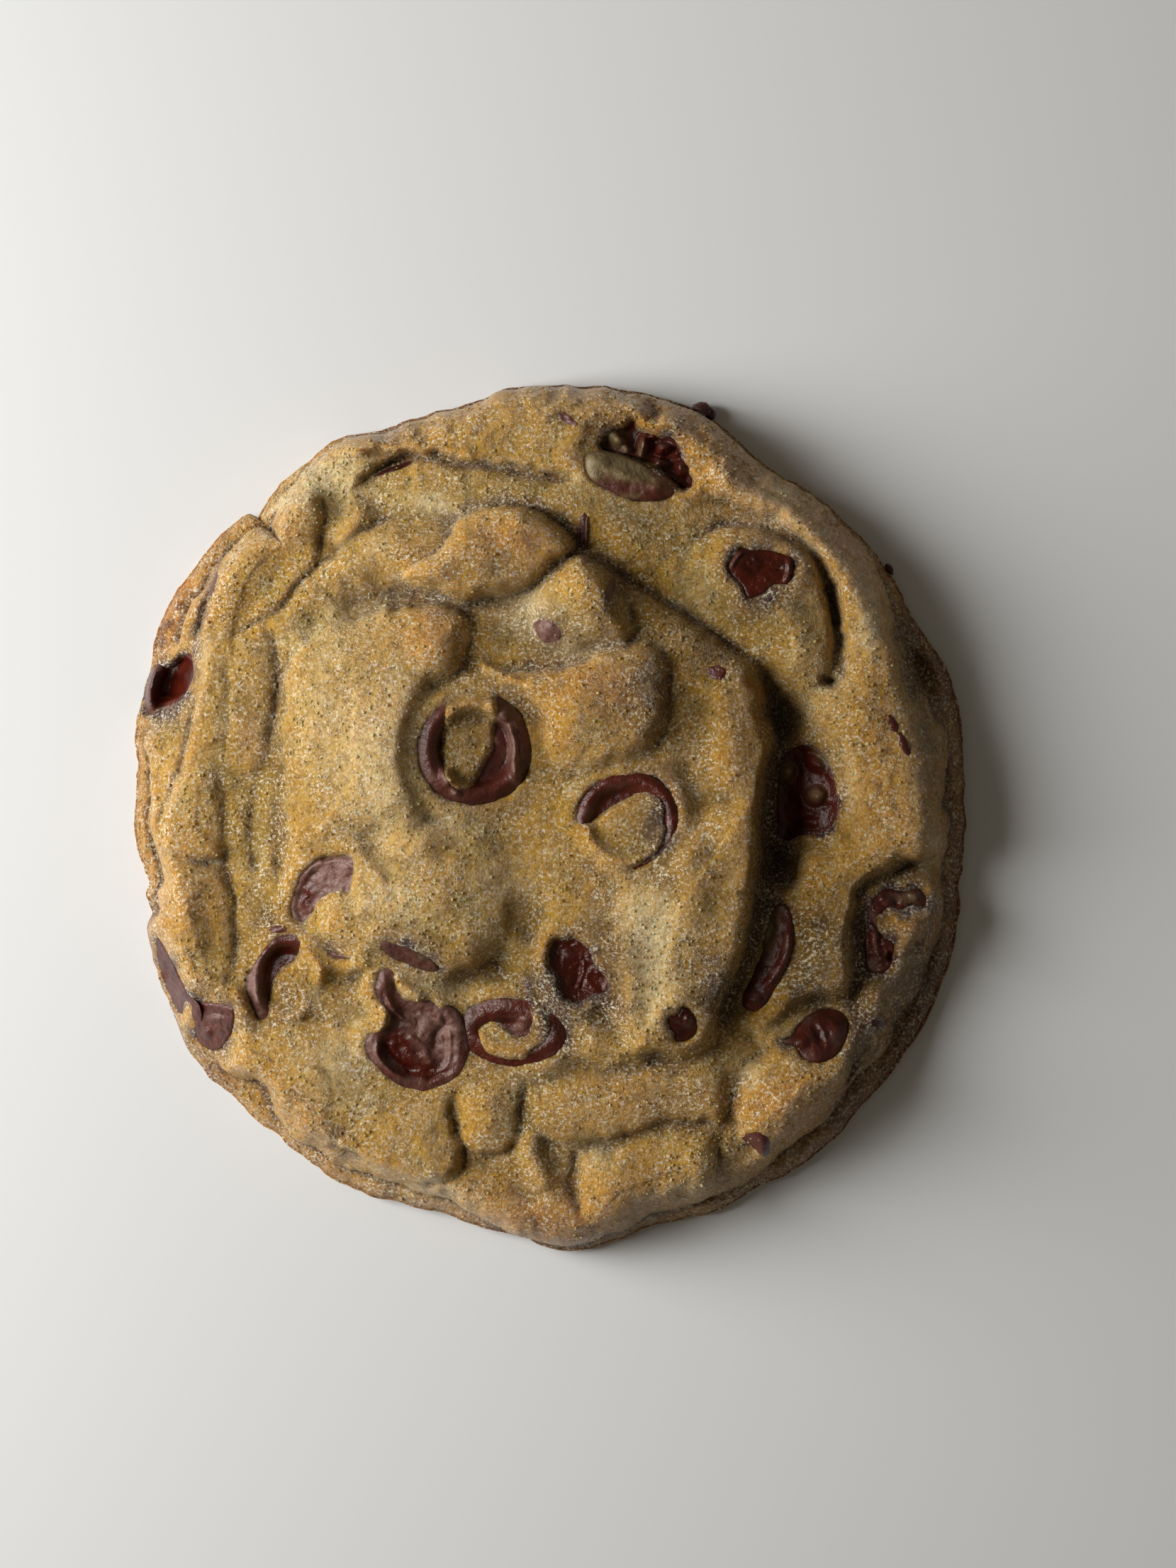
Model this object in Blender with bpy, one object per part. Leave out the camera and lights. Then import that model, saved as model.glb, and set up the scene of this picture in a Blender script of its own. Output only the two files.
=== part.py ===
"""Chocolate chip cookie: one baked dough body with its chocolate chips set in it.

The dough starts as a flat grid that is rounded to the cookie's outline and raised
by named features: one puffed dome, folded pads, mounds, ridges and creases. Every
chip is a solid of its own that sits in a pocket cut 0.3 mm wider than the chip.
The origin is the middle of the flat underside, +Z is up and +Y is the long way.
"""

import math

import bmesh
import bpy
import numpy as np
from mathutils import Matrix, Vector

# ---------------------------------------------------------------- driving sizes
MM = 0.001                # all the numbers below are millimetres
POCKET_GAP = 0.3          # air between a chip and its pocket
CHIP_SIDES = 18           # straight runs round the edge of a round chip
SEAT_REACH = 0.7          # parts of a chip's radius over which the dough's slope is taken
SEAT_MARGIN = 2.0         # how far round a round chip the dough is flattened
GRID_CELLS = 39           # cells along each side of the dough's top grid
FOOT_INSET = 0.9          # how far the underside stays inside the widest outline
WAIST_HEIGHT = 1.7        # height of the widest outline above the underside
SKIRT_HEIGHT = 3.2        # thickness of the thin browned edge under the top dough
EDGE_HEIGHT = 8.8         # height that the top dough reaches behind its edge
EDGE_WIDTH = 4.6          # how far in from its edge the top dough gets there
BASE_SLOPE = 0.18         # gentle rise of the dough from the edge to the middle
SLOPE_REACH = 16.0        # how far in that rise goes on
CURVE_STEP = 1.2          # length of the short runs that stand for a smooth curve

# Radius of the outline every 10 degrees, anticlockwise from +X.
OUTLINE_RADII = (
    48.0, 48.5, 48.8, 47.9, 48.3, 48.1, 48.0, 50.0, 49.8,
    49.6, 48.5, 48.2, 49.6, 49.1, 49.5, 49.9, 48.9, 48.0,
    47.5, 46.6, 47.8, 48.8, 48.5, 47.9, 48.0, 47.3, 47.5,
    49.3, 48.9, 48.8, 48.9, 49.4, 49.0, 49.3, 49.1, 48.1,
)

# How far the top dough stays behind the thin edge, at clock angles in degrees.
TIER_ANGLES = (0, 20, 35, 50, 110, 132, 150, 165, 195, 215, 225, 240, 265, 300, 330, 360)
TIER_INSETS = (2.2, 3.2, 1.8, 0.6, 0.5, 2.2, 3.2, 1.5, 1.0, 3.6, 1.6, 2.4, 1.0, 3.0, 3.8, 2.2)

# A pad of dough: its outline, shoulder height, foot height, shoulder width, crown.
PADS = {
    "dome": (((-30.3, 11), (-28.3, 17.5), (-24, 21.5), (-18, 23.6), (-11, 24), (-4, 27),
              (3, 30), (9.5, 28), (14, 23.8), (20, 19.9), (25.2, 13), (26.4, 8.5),
              (25.2, 5), (24.6, -6), (22.6, -11), (20.4, -20.5), (14, -26.2), (10, -28.2),
              (4, -28), (-4.5, -19), (-9, -16.4), (-20, -17.2), (-29.6, -11), (-30.3, 1)),
             14.6, 10.0, 5.5, 2.2),
    "northwest_plate": (((-37, 30), (-33.5, 34), (-25.4, 34.8), (-25.5, 28.6), (-33.5, 21.5),
                         (-33, 7), (-40.6, 8), (-39, 22)), 12.0, 8.0, 3.4, 0.8),
    "west_lobe": (((-43.2, -1), (-40.3, 5.6), (-36.6, 1), (-38, -4.2)), 11.6, 8.0, 3.0, 0.6),
    "southwest_lobe": (((-45, -9), (-42, -3.6), (-36.2, -6), (-35.2, -18), (-40.3, -20.2)),
                       11.4, 7.0, 3.4, 0.6),
    "south_lobe": (((-22, -36), (-14.5, -41.2), (-9.3, -38), (-12, -27.5), (-24, -28.5)),
                   11.6, 7.5, 3.4, 0.6),
    "small_south_lobe": (((-10.4, -31), (-7, -37.8), (-2.8, -33), (-5, -27.5)),
                         12.2, 8.5, 2.6, 0.6),
    "south_pad": (((3.2, -41), (5, -37), (17, -34.6), (18.9, -42), (9, -46.8)),
                  11.0, 6.0, 4.0, 0.6),
    "south_band": (((-1.5, -31), (10, -26), (18, -24.8), (19.5, -34), (8, -35.8)),
                   12.2, 9.5, 3.0, 0.6),
    "southeast_mound": (((20.6, -33), (25, -25), (33.5, -24), (33.8, -32), (26.5, -38.2)),
                        12.6, 7.5, 5.0, 1.0),
    "east_strip": (((27.2, -3), (31, 3), (40, 0), (34.9, -9), (33, -21), (22, -24), (28, -14)),
                   11.8, 8.5, 3.0, 0.6),
    "island": (((15.2, 27.5), (22, 33), (30.5, 28.8), (32.2, 19), (26.5, 13.2), (20.5, 20.2)),
               12.0, 9.5, 4.6, 2.0),
}

# A mound or a dip: centre x, y, half sizes, turn in degrees, rise.
MOUNDS = {
    "orange_lump": (-4.6, 30.6, 6.8, 5.6, 8, 5.6),
    "knob": (3.6, 25.6, 5.6, 6.4, 10, 6.0),
    "knob_east": (7.6, 22.5, 3.6, 5.5, -10, 3.0),
    "yellow_mound": (4.8, 12.6, 11.0, 8.6, 35, 4.4),
    "west_crown": (-20, 12, 12, 14, 0, 1.6),
    "west_shoulder": (-13.6, 19.0, 5.6, 6.2, 20, 2.4),
    "crescent_mound": (12, 0, 10, 9, 0, 1.6),
    "south_crown": (12.5, -15, 9.5, 13, -20, 2.6),
    "southwest_crown": (-17, -8, 10, 7.0, -15, 1.4),
    "hub_dip": (-2.5, 21.3, 8.8, 5.6, -10, -3.0),
    "west_dip": (-6.5, -12.5, 3.8, 5.0, -25, -1.6),
    "field_hump": (-24, -27, 9, 8, -30, 1.2),
    "cluster_ball": (41, -11.5, 3.6, 3.4, 0, 2.8),
}

# A ridge (rise above zero) or a crease (below): its route, rise, half width.
STROKES = {
    "arc": (((-9, 29.2), (-19.5, 30.2), (-28.5, 23), (-32.3, 11), (-32.5, 6)), 3.4, 5.4),
    "north_band": (((-20, 35.6), (-4, 36.2), (14, 29.5)), 1.6, 4.9),
    "crust": (((-22, 40.5), (-5, 45), (17, 44)), 1.6, 5.7),
    "ring": (((14, 37.5), (27, 34), (36.6, 23), (37.6, 6), (39, -1)), 2.2, 6.7),
    "southwest_lip": (((-36.6, -24.5), (-31.5, -32.5)), 2.0, 3.5),
    "tongue": (((-6, -39), (-1, -45.5)), 1.8, 4.8),
    "tip": (((-3, -46), (5.5, -46.4)), 1.5, 4.6),
    "east_lobe": (((36.4, -18), (34.6, -29)), 1.4, 3.0),
    "crevice": (((24.2, 17.2), (26.6, 9), (26, -2), (25.8, -8)), -4.4, 3.4),
    "crevice_tail": (((26.4, -6.5), (24.3, -16), (18.5, -25.4)), -2.2, 3.0),
    "northeast_crack": (((7, 29), (15, 22.6), (24.2, 17.2)), -1.4, 2.2),
    "island_arc": (((17, 31.8), (25, 32.6), (31.9, 27), (32.4, 17.5)), -1.2, 2.2),
    "north_line": (((-22.5, 36.5), (-16, 40.4), (5, 37.2)), -1.6, 2.2),
    "northwest_slit": (((-36.6, 31), (-40.2, 17)), -2.6, 2.2),
    "left_edge": (((-40.2, 17), (-39.6, 12), (-44.2, -3)), -1.4, 2.2),
    "left_crease": (((-36.6, 6), (-36.2, -5), (-35, -19)), -1.4, 2.2),
    "hub_valley": (((-9.5, 22), (-7, 15.4)), -1.6, 3.0),
    "strip_right": (((35.4, -8), (34.4, -29)), -2.2, 2.2),
    "cluster_crack": (((35, -9.2), (42, -5.6)), -1.6, 2.0),
    "pad_left": (((3.2, -37), (3.8, -45)), -1.0, 2.2),
}

# A chip that lies with its round base up: centre x, y, how far the base's middle is
# below the dough, radius, thickness, side it leans up on (degrees), lean, dish depth.
ROUND_CHIPS = {
    "chip_ring_northwest": (-8.2, 8.0, 0.0, 6.3, 5.0, 250, 1, 1.1),
    "chip_crescent_east": (9.4, -0.6, 0.75, 5.8, 4.6, 62, 12, 0.5),
    "chip_half_moon_west": (-23.4, -9.4, 0.3, 6.0, 4.4, 150, 11, 0.5),
    "chip_wrinkled_south": (-14.6, -25.6, -0.1, 5.5, 4.6, 250, 2, 0.8),
    "chip_ring_south": (-3.3, -23.7, -0.3, 5.6, 4.6, 300, 2, 1.1),
    "chip_crescent_west": (-28.7, -18.0, 0.45, 4.9, 4.0, 175, 14, 0.4),
}

# A melted or half sunk chip: centre x, y, how far the centre is below the dough, half
# sizes, turn, and how far its ends bend sideways, in parts of its half length.
SOFT_CHIPS = {
    "chip_dark_middle": (3.9, -16.5, 1.4, 3.5, 3.7, 2.6, 10, 0.0),
    "chip_square_northeast": (24.0, 28.0, 1.6, 4.4, 4.1, 3.0, -20, 0.0),
    "chip_coated_north": (10.0, 38.0, 1.0, 5.9, 2.4, 2.6, -14, 0.0),
    "chip_melted_north": (12.2, 42.3, 0.7, 5.3, 1.5, 2.2, -35, -0.2),
    "chip_crevice_east": (29.6, 3.2, 1.4, 5.6, 3.2, 3.0, -58, 0.2),
    "chip_long_east": (25.2, -17.0, 0.6, 5.3, 1.8, 2.4, 58, -0.15),
    "chip_glossy_southeast": (30.2, -23.6, 1.4, 4.4, 3.6, 2.8, 20, 0.0),
    "chip_small_southeast": (15.0, -23.0, 1.0, 1.8, 2.2, 2.2, 0, 0.0),
    "chip_edge_east_upper": (39.8, -8.0, 0.6, 3.2, 1.4, 1.8, 22, 0.0),
    "chip_edge_east_lower": (37.6, -15.2, 0.6, 2.2, 1.4, 1.8, 80, 0.0),
    "chip_edge_west": (-42.9, 15.6, 0.8, 3.3, 2.5, 2.4, 55, 0.0),
    "chip_edge_southwest_long": (-42.2, -18.4, 0.8, 5.0, 1.7, 2.0, -70, 0.1),
    "chip_edge_southwest_short": (-37.5, -23.0, 0.8, 2.2, 1.9, 1.9, 20, 0.0),
    "chip_faded_southwest": (-14.6, -14.6, 0.8, 3.4, 1.6, 1.8, -30, 0.0),
}


# ---------------------------------------------------------------- small maths
def smooth_curve(points, closed=False):
    """Points every CURVE_STEP or so on a smooth curve through the given ones."""
    nodes = np.array(points, float)
    if closed:
        nodes = np.vstack([nodes[-1:], nodes, nodes[:2]])
    else:
        nodes = np.vstack([2 * nodes[0] - nodes[1], nodes, 2 * nodes[-1] - nodes[-2]])
    runs = []
    for a, b, c, d in zip(nodes, nodes[1:], nodes[2:], nodes[3:]):
        count = max(2, int(np.linalg.norm(c - b) / CURVE_STEP))
        t = np.linspace(0, 1, count, endpoint=False)[:, None]
        runs.append(0.5 * (2 * b + (c - a) * t + (2 * a - 5 * b + 4 * c - d) * t ** 2
                           + (3 * b - a - 3 * c + d) * t ** 3))
    if not closed:
        runs.append(nodes[-2:-1])
    return np.vstack(runs)


def distance_to(x, y, curve, closed=False):
    """Distance from each place to a curve."""
    ends = np.roll(curve, -1, axis=0) if closed else curve[1:]
    nearest = np.full(x.shape, np.inf)
    for (ax, ay), (bx, by) in zip(curve, ends):
        dx, dy = bx - ax, by - ay
        along = ((x - ax) * dx + (y - ay) * dy) / (dx * dx + dy * dy)
        along = np.clip(along, 0, 1)
        nearest = np.minimum(nearest, np.hypot(x - ax - along * dx, y - ay - along * dy))
    return nearest


def is_inside(x, y, curve):
    """Whether each place lies inside a closed curve."""
    inside = np.zeros(x.shape, bool)
    for (ax, ay), (bx, by) in zip(curve, np.roll(curve, -1, axis=0)):
        crosses = (ay > y) != (by > y)
        if ay != by:
            inside ^= crosses & (x < (bx - ax) * (y - ay) / (by - ay) + ax)
    return inside


def quarter_round(t):
    """Rises from 0 to 1 like a rounded edge seen from the side."""
    return np.sqrt(1 - (1 - np.clip(t, 0, 1)) ** 2)


def soft_hump(t):
    """Falls from 1 at the middle to 0 at t = 1, level at both."""
    return (1 - np.clip(t, 0, 1) ** 2) ** 2


def smooth_step(t):
    """Rises from 0 to 1, level at both ends."""
    t = np.clip(t, 0, 1)
    return t * t * (3 - 2 * t)


def smooth_max(a, b, blend):
    """The higher of two surfaces, with a soft join where they meet."""
    share = np.clip(0.5 + 0.5 * (a - b) / blend, 0, 1)
    return b * (1 - share) + a * share + blend * share * (1 - share)


# ---------------------------------------------------------------- dough surface
def outline_radius(angle):
    """Radius of the cookie's outline, smooth between the listed ones."""
    count = len(OUTLINE_RADII)
    radii = np.array(OUTLINE_RADII)
    place = (angle / (2 * math.pi) * count) % count
    i = np.floor(place).astype(int)
    t = place - i
    a, b, c, d = (radii[(i + k) % count] for k in (-1, 0, 1, 2))
    return 0.5 * (2 * b + (c - a) * t + (2 * a - 5 * b + 4 * c - d) * t ** 2
                  + (3 * b - a - 3 * c + d) * t ** 3)


def base_height(x, y):
    """The plain slab: a thin browned edge with the top dough set back on it."""
    angle = np.arctan2(y, x)
    from_edge = outline_radius(angle) - np.hypot(x, y)
    inset = np.interp(np.degrees(angle) % 360, TIER_ANGLES, TIER_INSETS)
    skirt = SKIRT_HEIGHT * quarter_round(from_edge / 1.8)
    rise = EDGE_HEIGHT * quarter_round((from_edge - inset) / EDGE_WIDTH)
    slope = BASE_SLOPE * np.clip(from_edge - inset, 0, SLOPE_REACH)
    return smooth_max(rise + slope, skirt, 0.8)


def add_pads(x, y, height):
    """Lay the dome and the folded pads over the slab."""
    for outline, top, foot, shoulder, crown in PADS.values():
        curve = smooth_curve(outline, closed=True)
        depth = distance_to(x, y, curve, closed=True)
        inside = is_inside(x, y, curve)
        risen = foot + (top - foot) * quarter_round(depth / shoulder)
        risen = risen + crown * smooth_step(depth / (3 * shoulder))
        pad = np.where(inside, risen, foot - 1.6 * depth)
        height = smooth_max(height, pad, 2.0)
    return height


def add_mounds(x, y, height):
    """Raise the mounds and press in the dips."""
    for cx, cy, half_x, half_y, turn, rise in MOUNDS.values():
        c, s = math.cos(math.radians(turn)), math.sin(math.radians(turn))
        u = ((x - cx) * c + (y - cy) * s) / half_x
        v = ((y - cy) * c - (x - cx) * s) / half_y
        height = height + rise * soft_hump(np.hypot(u, v))
    return height


def add_strokes(x, y, height):
    """Raise the ridges and press in the creases."""
    for route, rise, half_width in STROKES.values():
        distance = distance_to(x, y, smooth_curve(route))
        height = height + rise * soft_hump(distance / half_width)
    return height


def free_height(x, y):
    """Height of the dough's top before the round chips flatten it."""
    height = base_height(x, y)
    height = add_pads(x, y, height)
    height = add_mounds(x, y, height)
    height = add_strokes(x, y, height)
    from_edge = outline_radius(np.arctan2(y, x)) - np.hypot(x, y)
    cap = WAIST_HEIGHT + 8.4 * quarter_round(from_edge / 5.0) + 1.2 * np.clip(from_edge - 5, 0, 99)
    return np.clip(height, WAIST_HEIGHT, cap)


def chip_plane(x, y, reach):
    """Level and slopes of the dough around a chip, from five places."""
    around_x = np.array([x, x + reach, x - reach, x, x])
    around_y = np.array([y, y, y, y + reach, y - reach])
    heights = free_height(around_x, around_y)
    slope_x = (heights[1] - heights[2]) / (2 * reach)
    slope_y = (heights[3] - heights[4]) / (2 * reach)
    return heights.mean(), slope_x, slope_y


def dough_height(x, y):
    """Height of the dough's top, flattened round each round chip."""
    height = free_height(x, y)
    for cx, cy, _, radius, *_ in ROUND_CHIPS.values():
        level, slope_x, slope_y = chip_plane(cx, cy, SEAT_REACH * radius)
        plane = level + slope_x * (x - cx) + slope_y * (y - cy)
        outside = (np.hypot(x - cx, y - cy) - radius) / SEAT_MARGIN
        height = plane + (height - plane) * smooth_step(outside)
    return height


# ---------------------------------------------------------------- building blocks
def clear_scene():
    """Take away whatever the scene held."""
    for obj in list(bpy.data.objects):
        bpy.data.objects.remove(obj, do_unlink=True)


def new_collection(name):
    """A collection under the scene's own."""
    collection = bpy.data.collections.new(name)
    bpy.context.scene.collection.children.link(collection)
    return collection


def new_material(name, colour, roughness):
    """A plain Principled material."""
    material = bpy.data.materials.new(name)
    material.use_nodes = True
    shader = material.node_tree.nodes["Principled BSDF"]
    shader.inputs["Base Color"].default_value = (*colour, 1.0)
    shader.inputs["Roughness"].default_value = roughness
    shader.inputs["Metallic"].default_value = 0.0
    return material


def finish_object(name, bm, collection, material=None):
    """Turn a bmesh in millimetres into an object in metres."""
    bmesh.ops.scale(bm, vec=Vector((MM, MM, MM)), verts=bm.verts)
    bmesh.ops.recalc_face_normals(bm, faces=bm.faces)
    mesh = bpy.data.meshes.new(name)
    bm.to_mesh(mesh)
    bm.free()
    mesh.shade_smooth()
    obj = bpy.data.objects.new(name, mesh)
    collection.objects.link(obj)
    if material is not None:
        mesh.materials.append(material)
    return obj


def make_dough(collection, material):
    """The dough: a round grid raised to the surface, closed by a flat underside."""
    bm = bmesh.new()
    bmesh.ops.create_grid(bm, x_segments=GRID_CELLS, y_segments=GRID_CELLS, size=1.0)
    square = np.array([v.co[:2] for v in bm.verts])
    disc_x = square[:, 0] * np.sqrt(1 - square[:, 1] ** 2 / 2)
    disc_y = square[:, 1] * np.sqrt(1 - square[:, 0] ** 2 / 2)
    radius = outline_radius(np.arctan2(disc_y, disc_x))
    x, y = disc_x * radius, disc_y * radius
    z = dough_height(x, y)
    for vert, place in zip(bm.verts, zip(x, y, z)):
        vert.co = place
    rim = [e for e in bm.edges if e.is_boundary]
    drop = bmesh.ops.extrude_edge_only(bm, edges=rim)["geom"]
    foot = [g for g in drop if isinstance(g, bmesh.types.BMVert)]
    for vert in foot:
        inward = Vector((vert.co.x, vert.co.y, 0)).normalized() * FOOT_INSET
        vert.co = vert.co - inward
        vert.co.z = 0.0
    bmesh.ops.contextual_create(bm, geom=[e for e in bm.edges if e.is_boundary])
    return finish_object("dough", bm, collection, material)


def seat(x, y, sink, reach):
    """Where a chip sits: sunk in the dough and tipped with the dough's own slope."""
    level, slope_x, slope_y = chip_plane(x, y, reach)
    up = Vector((-slope_x, -slope_y, 1.0))
    tip = Vector((0, 0, 1)).rotation_difference(up).to_matrix().to_4x4()
    return Matrix.Translation((x, y, level - sink)) @ tip


def round_chip_mesh(spec, grow):
    """A chip with its round base up: a tapered disc with a shallow dish in its base."""
    x, y, sink, radius, thickness, towards, lean, dish = spec
    bm = bmesh.new()
    bmesh.ops.create_cone(bm, cap_ends=True, segments=CHIP_SIDES, radius1=0.72 * radius + grow,
                          radius2=radius + grow, depth=thickness + 2 * grow)
    top = [f for f in bm.faces if f.normal.z > 0.9]
    if not grow:
        inner = bmesh.ops.inset_region(bm, faces=top, thickness=0.24 * radius)
        for vert in {v for f in top for v in f.verts}:
            vert.co.z -= dish
        rims = {e for f in inner["faces"] for e in f.edges
                if all(v.co.xy.length > 0.9 * radius for v in e.verts)}
        bmesh.ops.bevel(bm, geom=list(rims), offset=0.45, segments=2, affect="EDGES")
    base_up = Matrix.Translation((0, 0, -thickness / 2))
    axis = Vector((math.sin(math.radians(towards)), -math.cos(math.radians(towards)), 0))
    leaning = Matrix.Rotation(math.radians(lean), 4, axis)
    bm.transform(seat(x, y, sink, SEAT_REACH * radius) @ leaning @ base_up)
    return bm


def soft_chip_mesh(spec, grow):
    """A melted chip: a rounded lump, longer one way, that may bend sideways."""
    x, y, sink, half_x, half_y, half_z, turn, bend = spec
    bm = bmesh.new()
    bmesh.ops.create_uvsphere(bm, u_segments=10, v_segments=7, radius=1.0)
    for vert in bm.verts:
        u, v, w = vert.co
        boxy = 1 + 0.10 * (1 - (u ** 4 + v ** 4 + w ** 4))
        vert.co = ((half_x + grow) * u * boxy,
                   (half_y + grow) * v * boxy + bend * half_x * u * u,
                   (half_z + grow) * w * boxy)
    spin = Matrix.Rotation(math.radians(turn), 4, "Z")
    bm.transform(seat(x, y, sink, SEAT_REACH * half_y) @ spin)
    return bm


def set_in_dough(dough, cutter):
    """Cut a pocket for a chip with a cutter that stays hidden."""
    cutter.hide_render = True
    cutter.display_type = "WIRE"
    cut = dough.modifiers.new("pocket_" + cutter.name, "BOOLEAN")
    cut.operation = "DIFFERENCE"
    cut.solver = "EXACT"
    cut.object = cutter


def make_chips(dough, cookie, cutters, material):
    """Every chip, each with its pocket in the dough."""
    kinds = ((ROUND_CHIPS, round_chip_mesh), (SOFT_CHIPS, soft_chip_mesh))
    for chips, build in kinds:
        for name, spec in chips.items():
            finish_object(name, build(spec, 0.0), cookie, material)
            cutter = finish_object(name + "_pocket", build(spec, POCKET_GAP), cutters)
            set_in_dough(dough, cutter)


def main():
    """Build the cookie."""
    clear_scene()
    cookie = new_collection("chocolate_chip_cookie")
    cutters = new_collection("cutters")
    crust = new_material("baked dough", (0.50, 0.34, 0.13), 0.62)
    chocolate = new_material("dark chocolate", (0.055, 0.016, 0.010), 0.35)
    dough = make_dough(cookie, crust)
    make_chips(dough, cookie, cutters, chocolate)


main()
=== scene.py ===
"""Chocolate chip cookie: the looks of the dough and of its chips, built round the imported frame."""

import logging
import math
from dataclasses import dataclass, field
from enum import Enum
from typing import Callable, Sequence

import bpy
import numpy as np
from mathutils import Matrix, Vector


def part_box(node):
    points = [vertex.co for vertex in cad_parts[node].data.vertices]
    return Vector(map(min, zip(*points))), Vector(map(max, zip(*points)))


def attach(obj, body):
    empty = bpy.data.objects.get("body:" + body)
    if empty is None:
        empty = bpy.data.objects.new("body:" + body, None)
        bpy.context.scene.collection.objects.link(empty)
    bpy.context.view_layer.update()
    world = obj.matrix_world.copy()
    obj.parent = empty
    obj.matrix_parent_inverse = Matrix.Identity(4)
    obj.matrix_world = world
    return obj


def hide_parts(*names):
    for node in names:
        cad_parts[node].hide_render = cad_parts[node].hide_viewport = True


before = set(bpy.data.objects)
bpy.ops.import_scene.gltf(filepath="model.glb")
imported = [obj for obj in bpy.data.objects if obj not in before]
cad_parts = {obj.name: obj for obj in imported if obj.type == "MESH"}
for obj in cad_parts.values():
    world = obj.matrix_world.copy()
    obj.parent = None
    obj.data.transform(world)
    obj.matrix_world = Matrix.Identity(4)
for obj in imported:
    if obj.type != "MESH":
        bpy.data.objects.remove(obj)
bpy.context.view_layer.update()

log = logging.getLogger("cookie")

MM = 0.001  # the lists below are in millimetres, in the frame's own axes
Array = np.ndarray
Point = tuple[float, float]


# ------------------------------------------------------------------ small maths
def noise(x: Array, y: Array, seed: int) -> Array:
    """Smooth uneven bumps on a unit lattice.

    Args:
        x: Places along X, in lattice units.
        y: Places along Y, in lattice units.
        seed: Which pattern.

    Returns:
        Values from -1 to 1.
    """
    def corner(i: Array, j: Array) -> Array:
        """A fixed value for each lattice corner."""
        value = np.sin(i * 127.1 + j * 311.7 + seed * 74.7) * 43758.5453
        return (value - np.floor(value)) * 2 - 1

    i, j = np.floor(x), np.floor(y)
    u, v = x - i, y - j
    u = u * u * u * (u * (u * 6 - 15) + 10)
    v = v * v * v * (v * (v * 6 - 15) + 10)
    low = corner(i, j) * (1 - u) + corner(i + 1, j) * u
    high = corner(i, j + 1) * (1 - u) + corner(i + 1, j + 1) * u
    return low * (1 - v) + high * v


def rough(x: Array, y: Array, size: float, seed: int, layers: int = 3) -> Array:
    """Uneven bumps in several sizes, each half as large as the one before.

    Args:
        x: Places along X, in millimetres.
        y: Places along Y, in millimetres.
        size: Width of the largest bumps, in millimetres.
        seed: Which pattern.
        layers: How many sizes.

    Returns:
        Values from about -1 to 1.
    """
    total = np.zeros_like(x)
    for k in range(layers):
        c, s = math.cos(0.6 + 1.1 * k), math.sin(0.6 + 1.1 * k)
        width = size * 0.5 ** k
        total += 0.5 ** k * noise((x * c - y * s) / width, (x * s + y * c) / width, seed + 17 * k)
    return total / 1.5


def smooth_curve(points: Sequence[Sequence[float]], closed: bool = False, step: float = 0.5) -> Array:
    """Points close together on a smooth curve through the given ones.

    Args:
        points: The points to pass through; each may carry further numbers, which are smoothed too.
        closed: Whether the last joins the first.
        step: Distance between the new points, in millimetres.

    Returns:
        One row for each new point.
    """
    nodes = np.array(points, float)
    if closed:
        nodes = np.vstack([nodes[-1:], nodes, nodes[:2]])
    else:
        nodes = np.vstack([2 * nodes[0] - nodes[1], nodes, 2 * nodes[-1] - nodes[-2]])
    runs = []
    for a, b, c, d in zip(nodes, nodes[1:], nodes[2:], nodes[3:]):
        count = max(2, int(np.linalg.norm((c - b)[:2]) / step))
        t = np.linspace(0, 1, count, endpoint=False)[:, None]
        runs.append(0.5 * (2 * b + (c - a) * t + (2 * a - 5 * b + 4 * c - d) * t ** 2
                           + (3 * b - a - 3 * c + d) * t ** 3))
    if not closed:
        runs.append(nodes[-2:-1])
    return np.vstack(runs)


def measure_to(x: Array, y: Array, curve: Array, reach: float, closed: bool = False) -> tuple[Array, Array, Array]:
    """Distance to a curve, the side of it, and how far along it the nearest point is.

    Args:
        x: Places along X.
        y: Places along Y.
        curve: The curve's points, one row each.
        reach: Beyond this distance the answer is only "far".
        closed: Whether the last point joins the first.

    Returns:
        Distance, side (1 on the left of the direction of travel, -1 on the right), and share of the length.
    """
    ends = np.vstack([curve, curve[:1]]) if closed else curve
    low, high = ends[:, :2].min(0) - reach, ends[:, :2].max(0) + reach
    near = (x > low[0]) & (x < high[0]) & (y > low[1]) & (y < high[1])
    px, py = x[near], y[near]
    best = np.full(px.shape, 1e6)
    side = np.ones(px.shape)
    share = np.zeros(px.shape)
    runs = len(ends) - 1
    for k in range(runs):
        ax, ay = ends[k, :2]
        dx, dy = ends[k + 1, :2] - ends[k, :2]
        t = np.clip(((px - ax) * dx + (py - ay) * dy) / (dx * dx + dy * dy + 1e-12), 0, 1)
        ex, ey = px - ax - t * dx, py - ay - t * dy
        square = ex * ex + ey * ey
        closer = square < best
        best[closer] = square[closer]
        share[closer] = ((k + t) / runs)[closer]
        side[closer] = np.where(dx * ey - dy * ex > 0, 1.0, -1.0)[closer]
    far = [np.full(x.shape, 1e3), np.ones(x.shape), np.zeros(x.shape)]
    for whole, part in zip(far, (np.sqrt(best), side, share)):
        whole[near] = part
    return far[0], far[1], far[2]


def is_inside(x: Array, y: Array, curve: Array) -> Array:
    """Whether each place lies inside a closed curve.

    Args:
        x: Places along X.
        y: Places along Y.
        curve: The curve's points, one row each.

    Returns:
        True where a place is inside.
    """
    inside = np.zeros(x.shape, bool)
    for a, b in zip(curve, np.roll(curve, -1, axis=0)):
        crosses = (a[1] > y) != (b[1] > y)
        if a[1] != b[1]:
            inside ^= crosses & (x < (b[0] - a[0]) * (y - a[1]) / (b[1] - a[1]) + a[0])
    return inside


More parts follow.
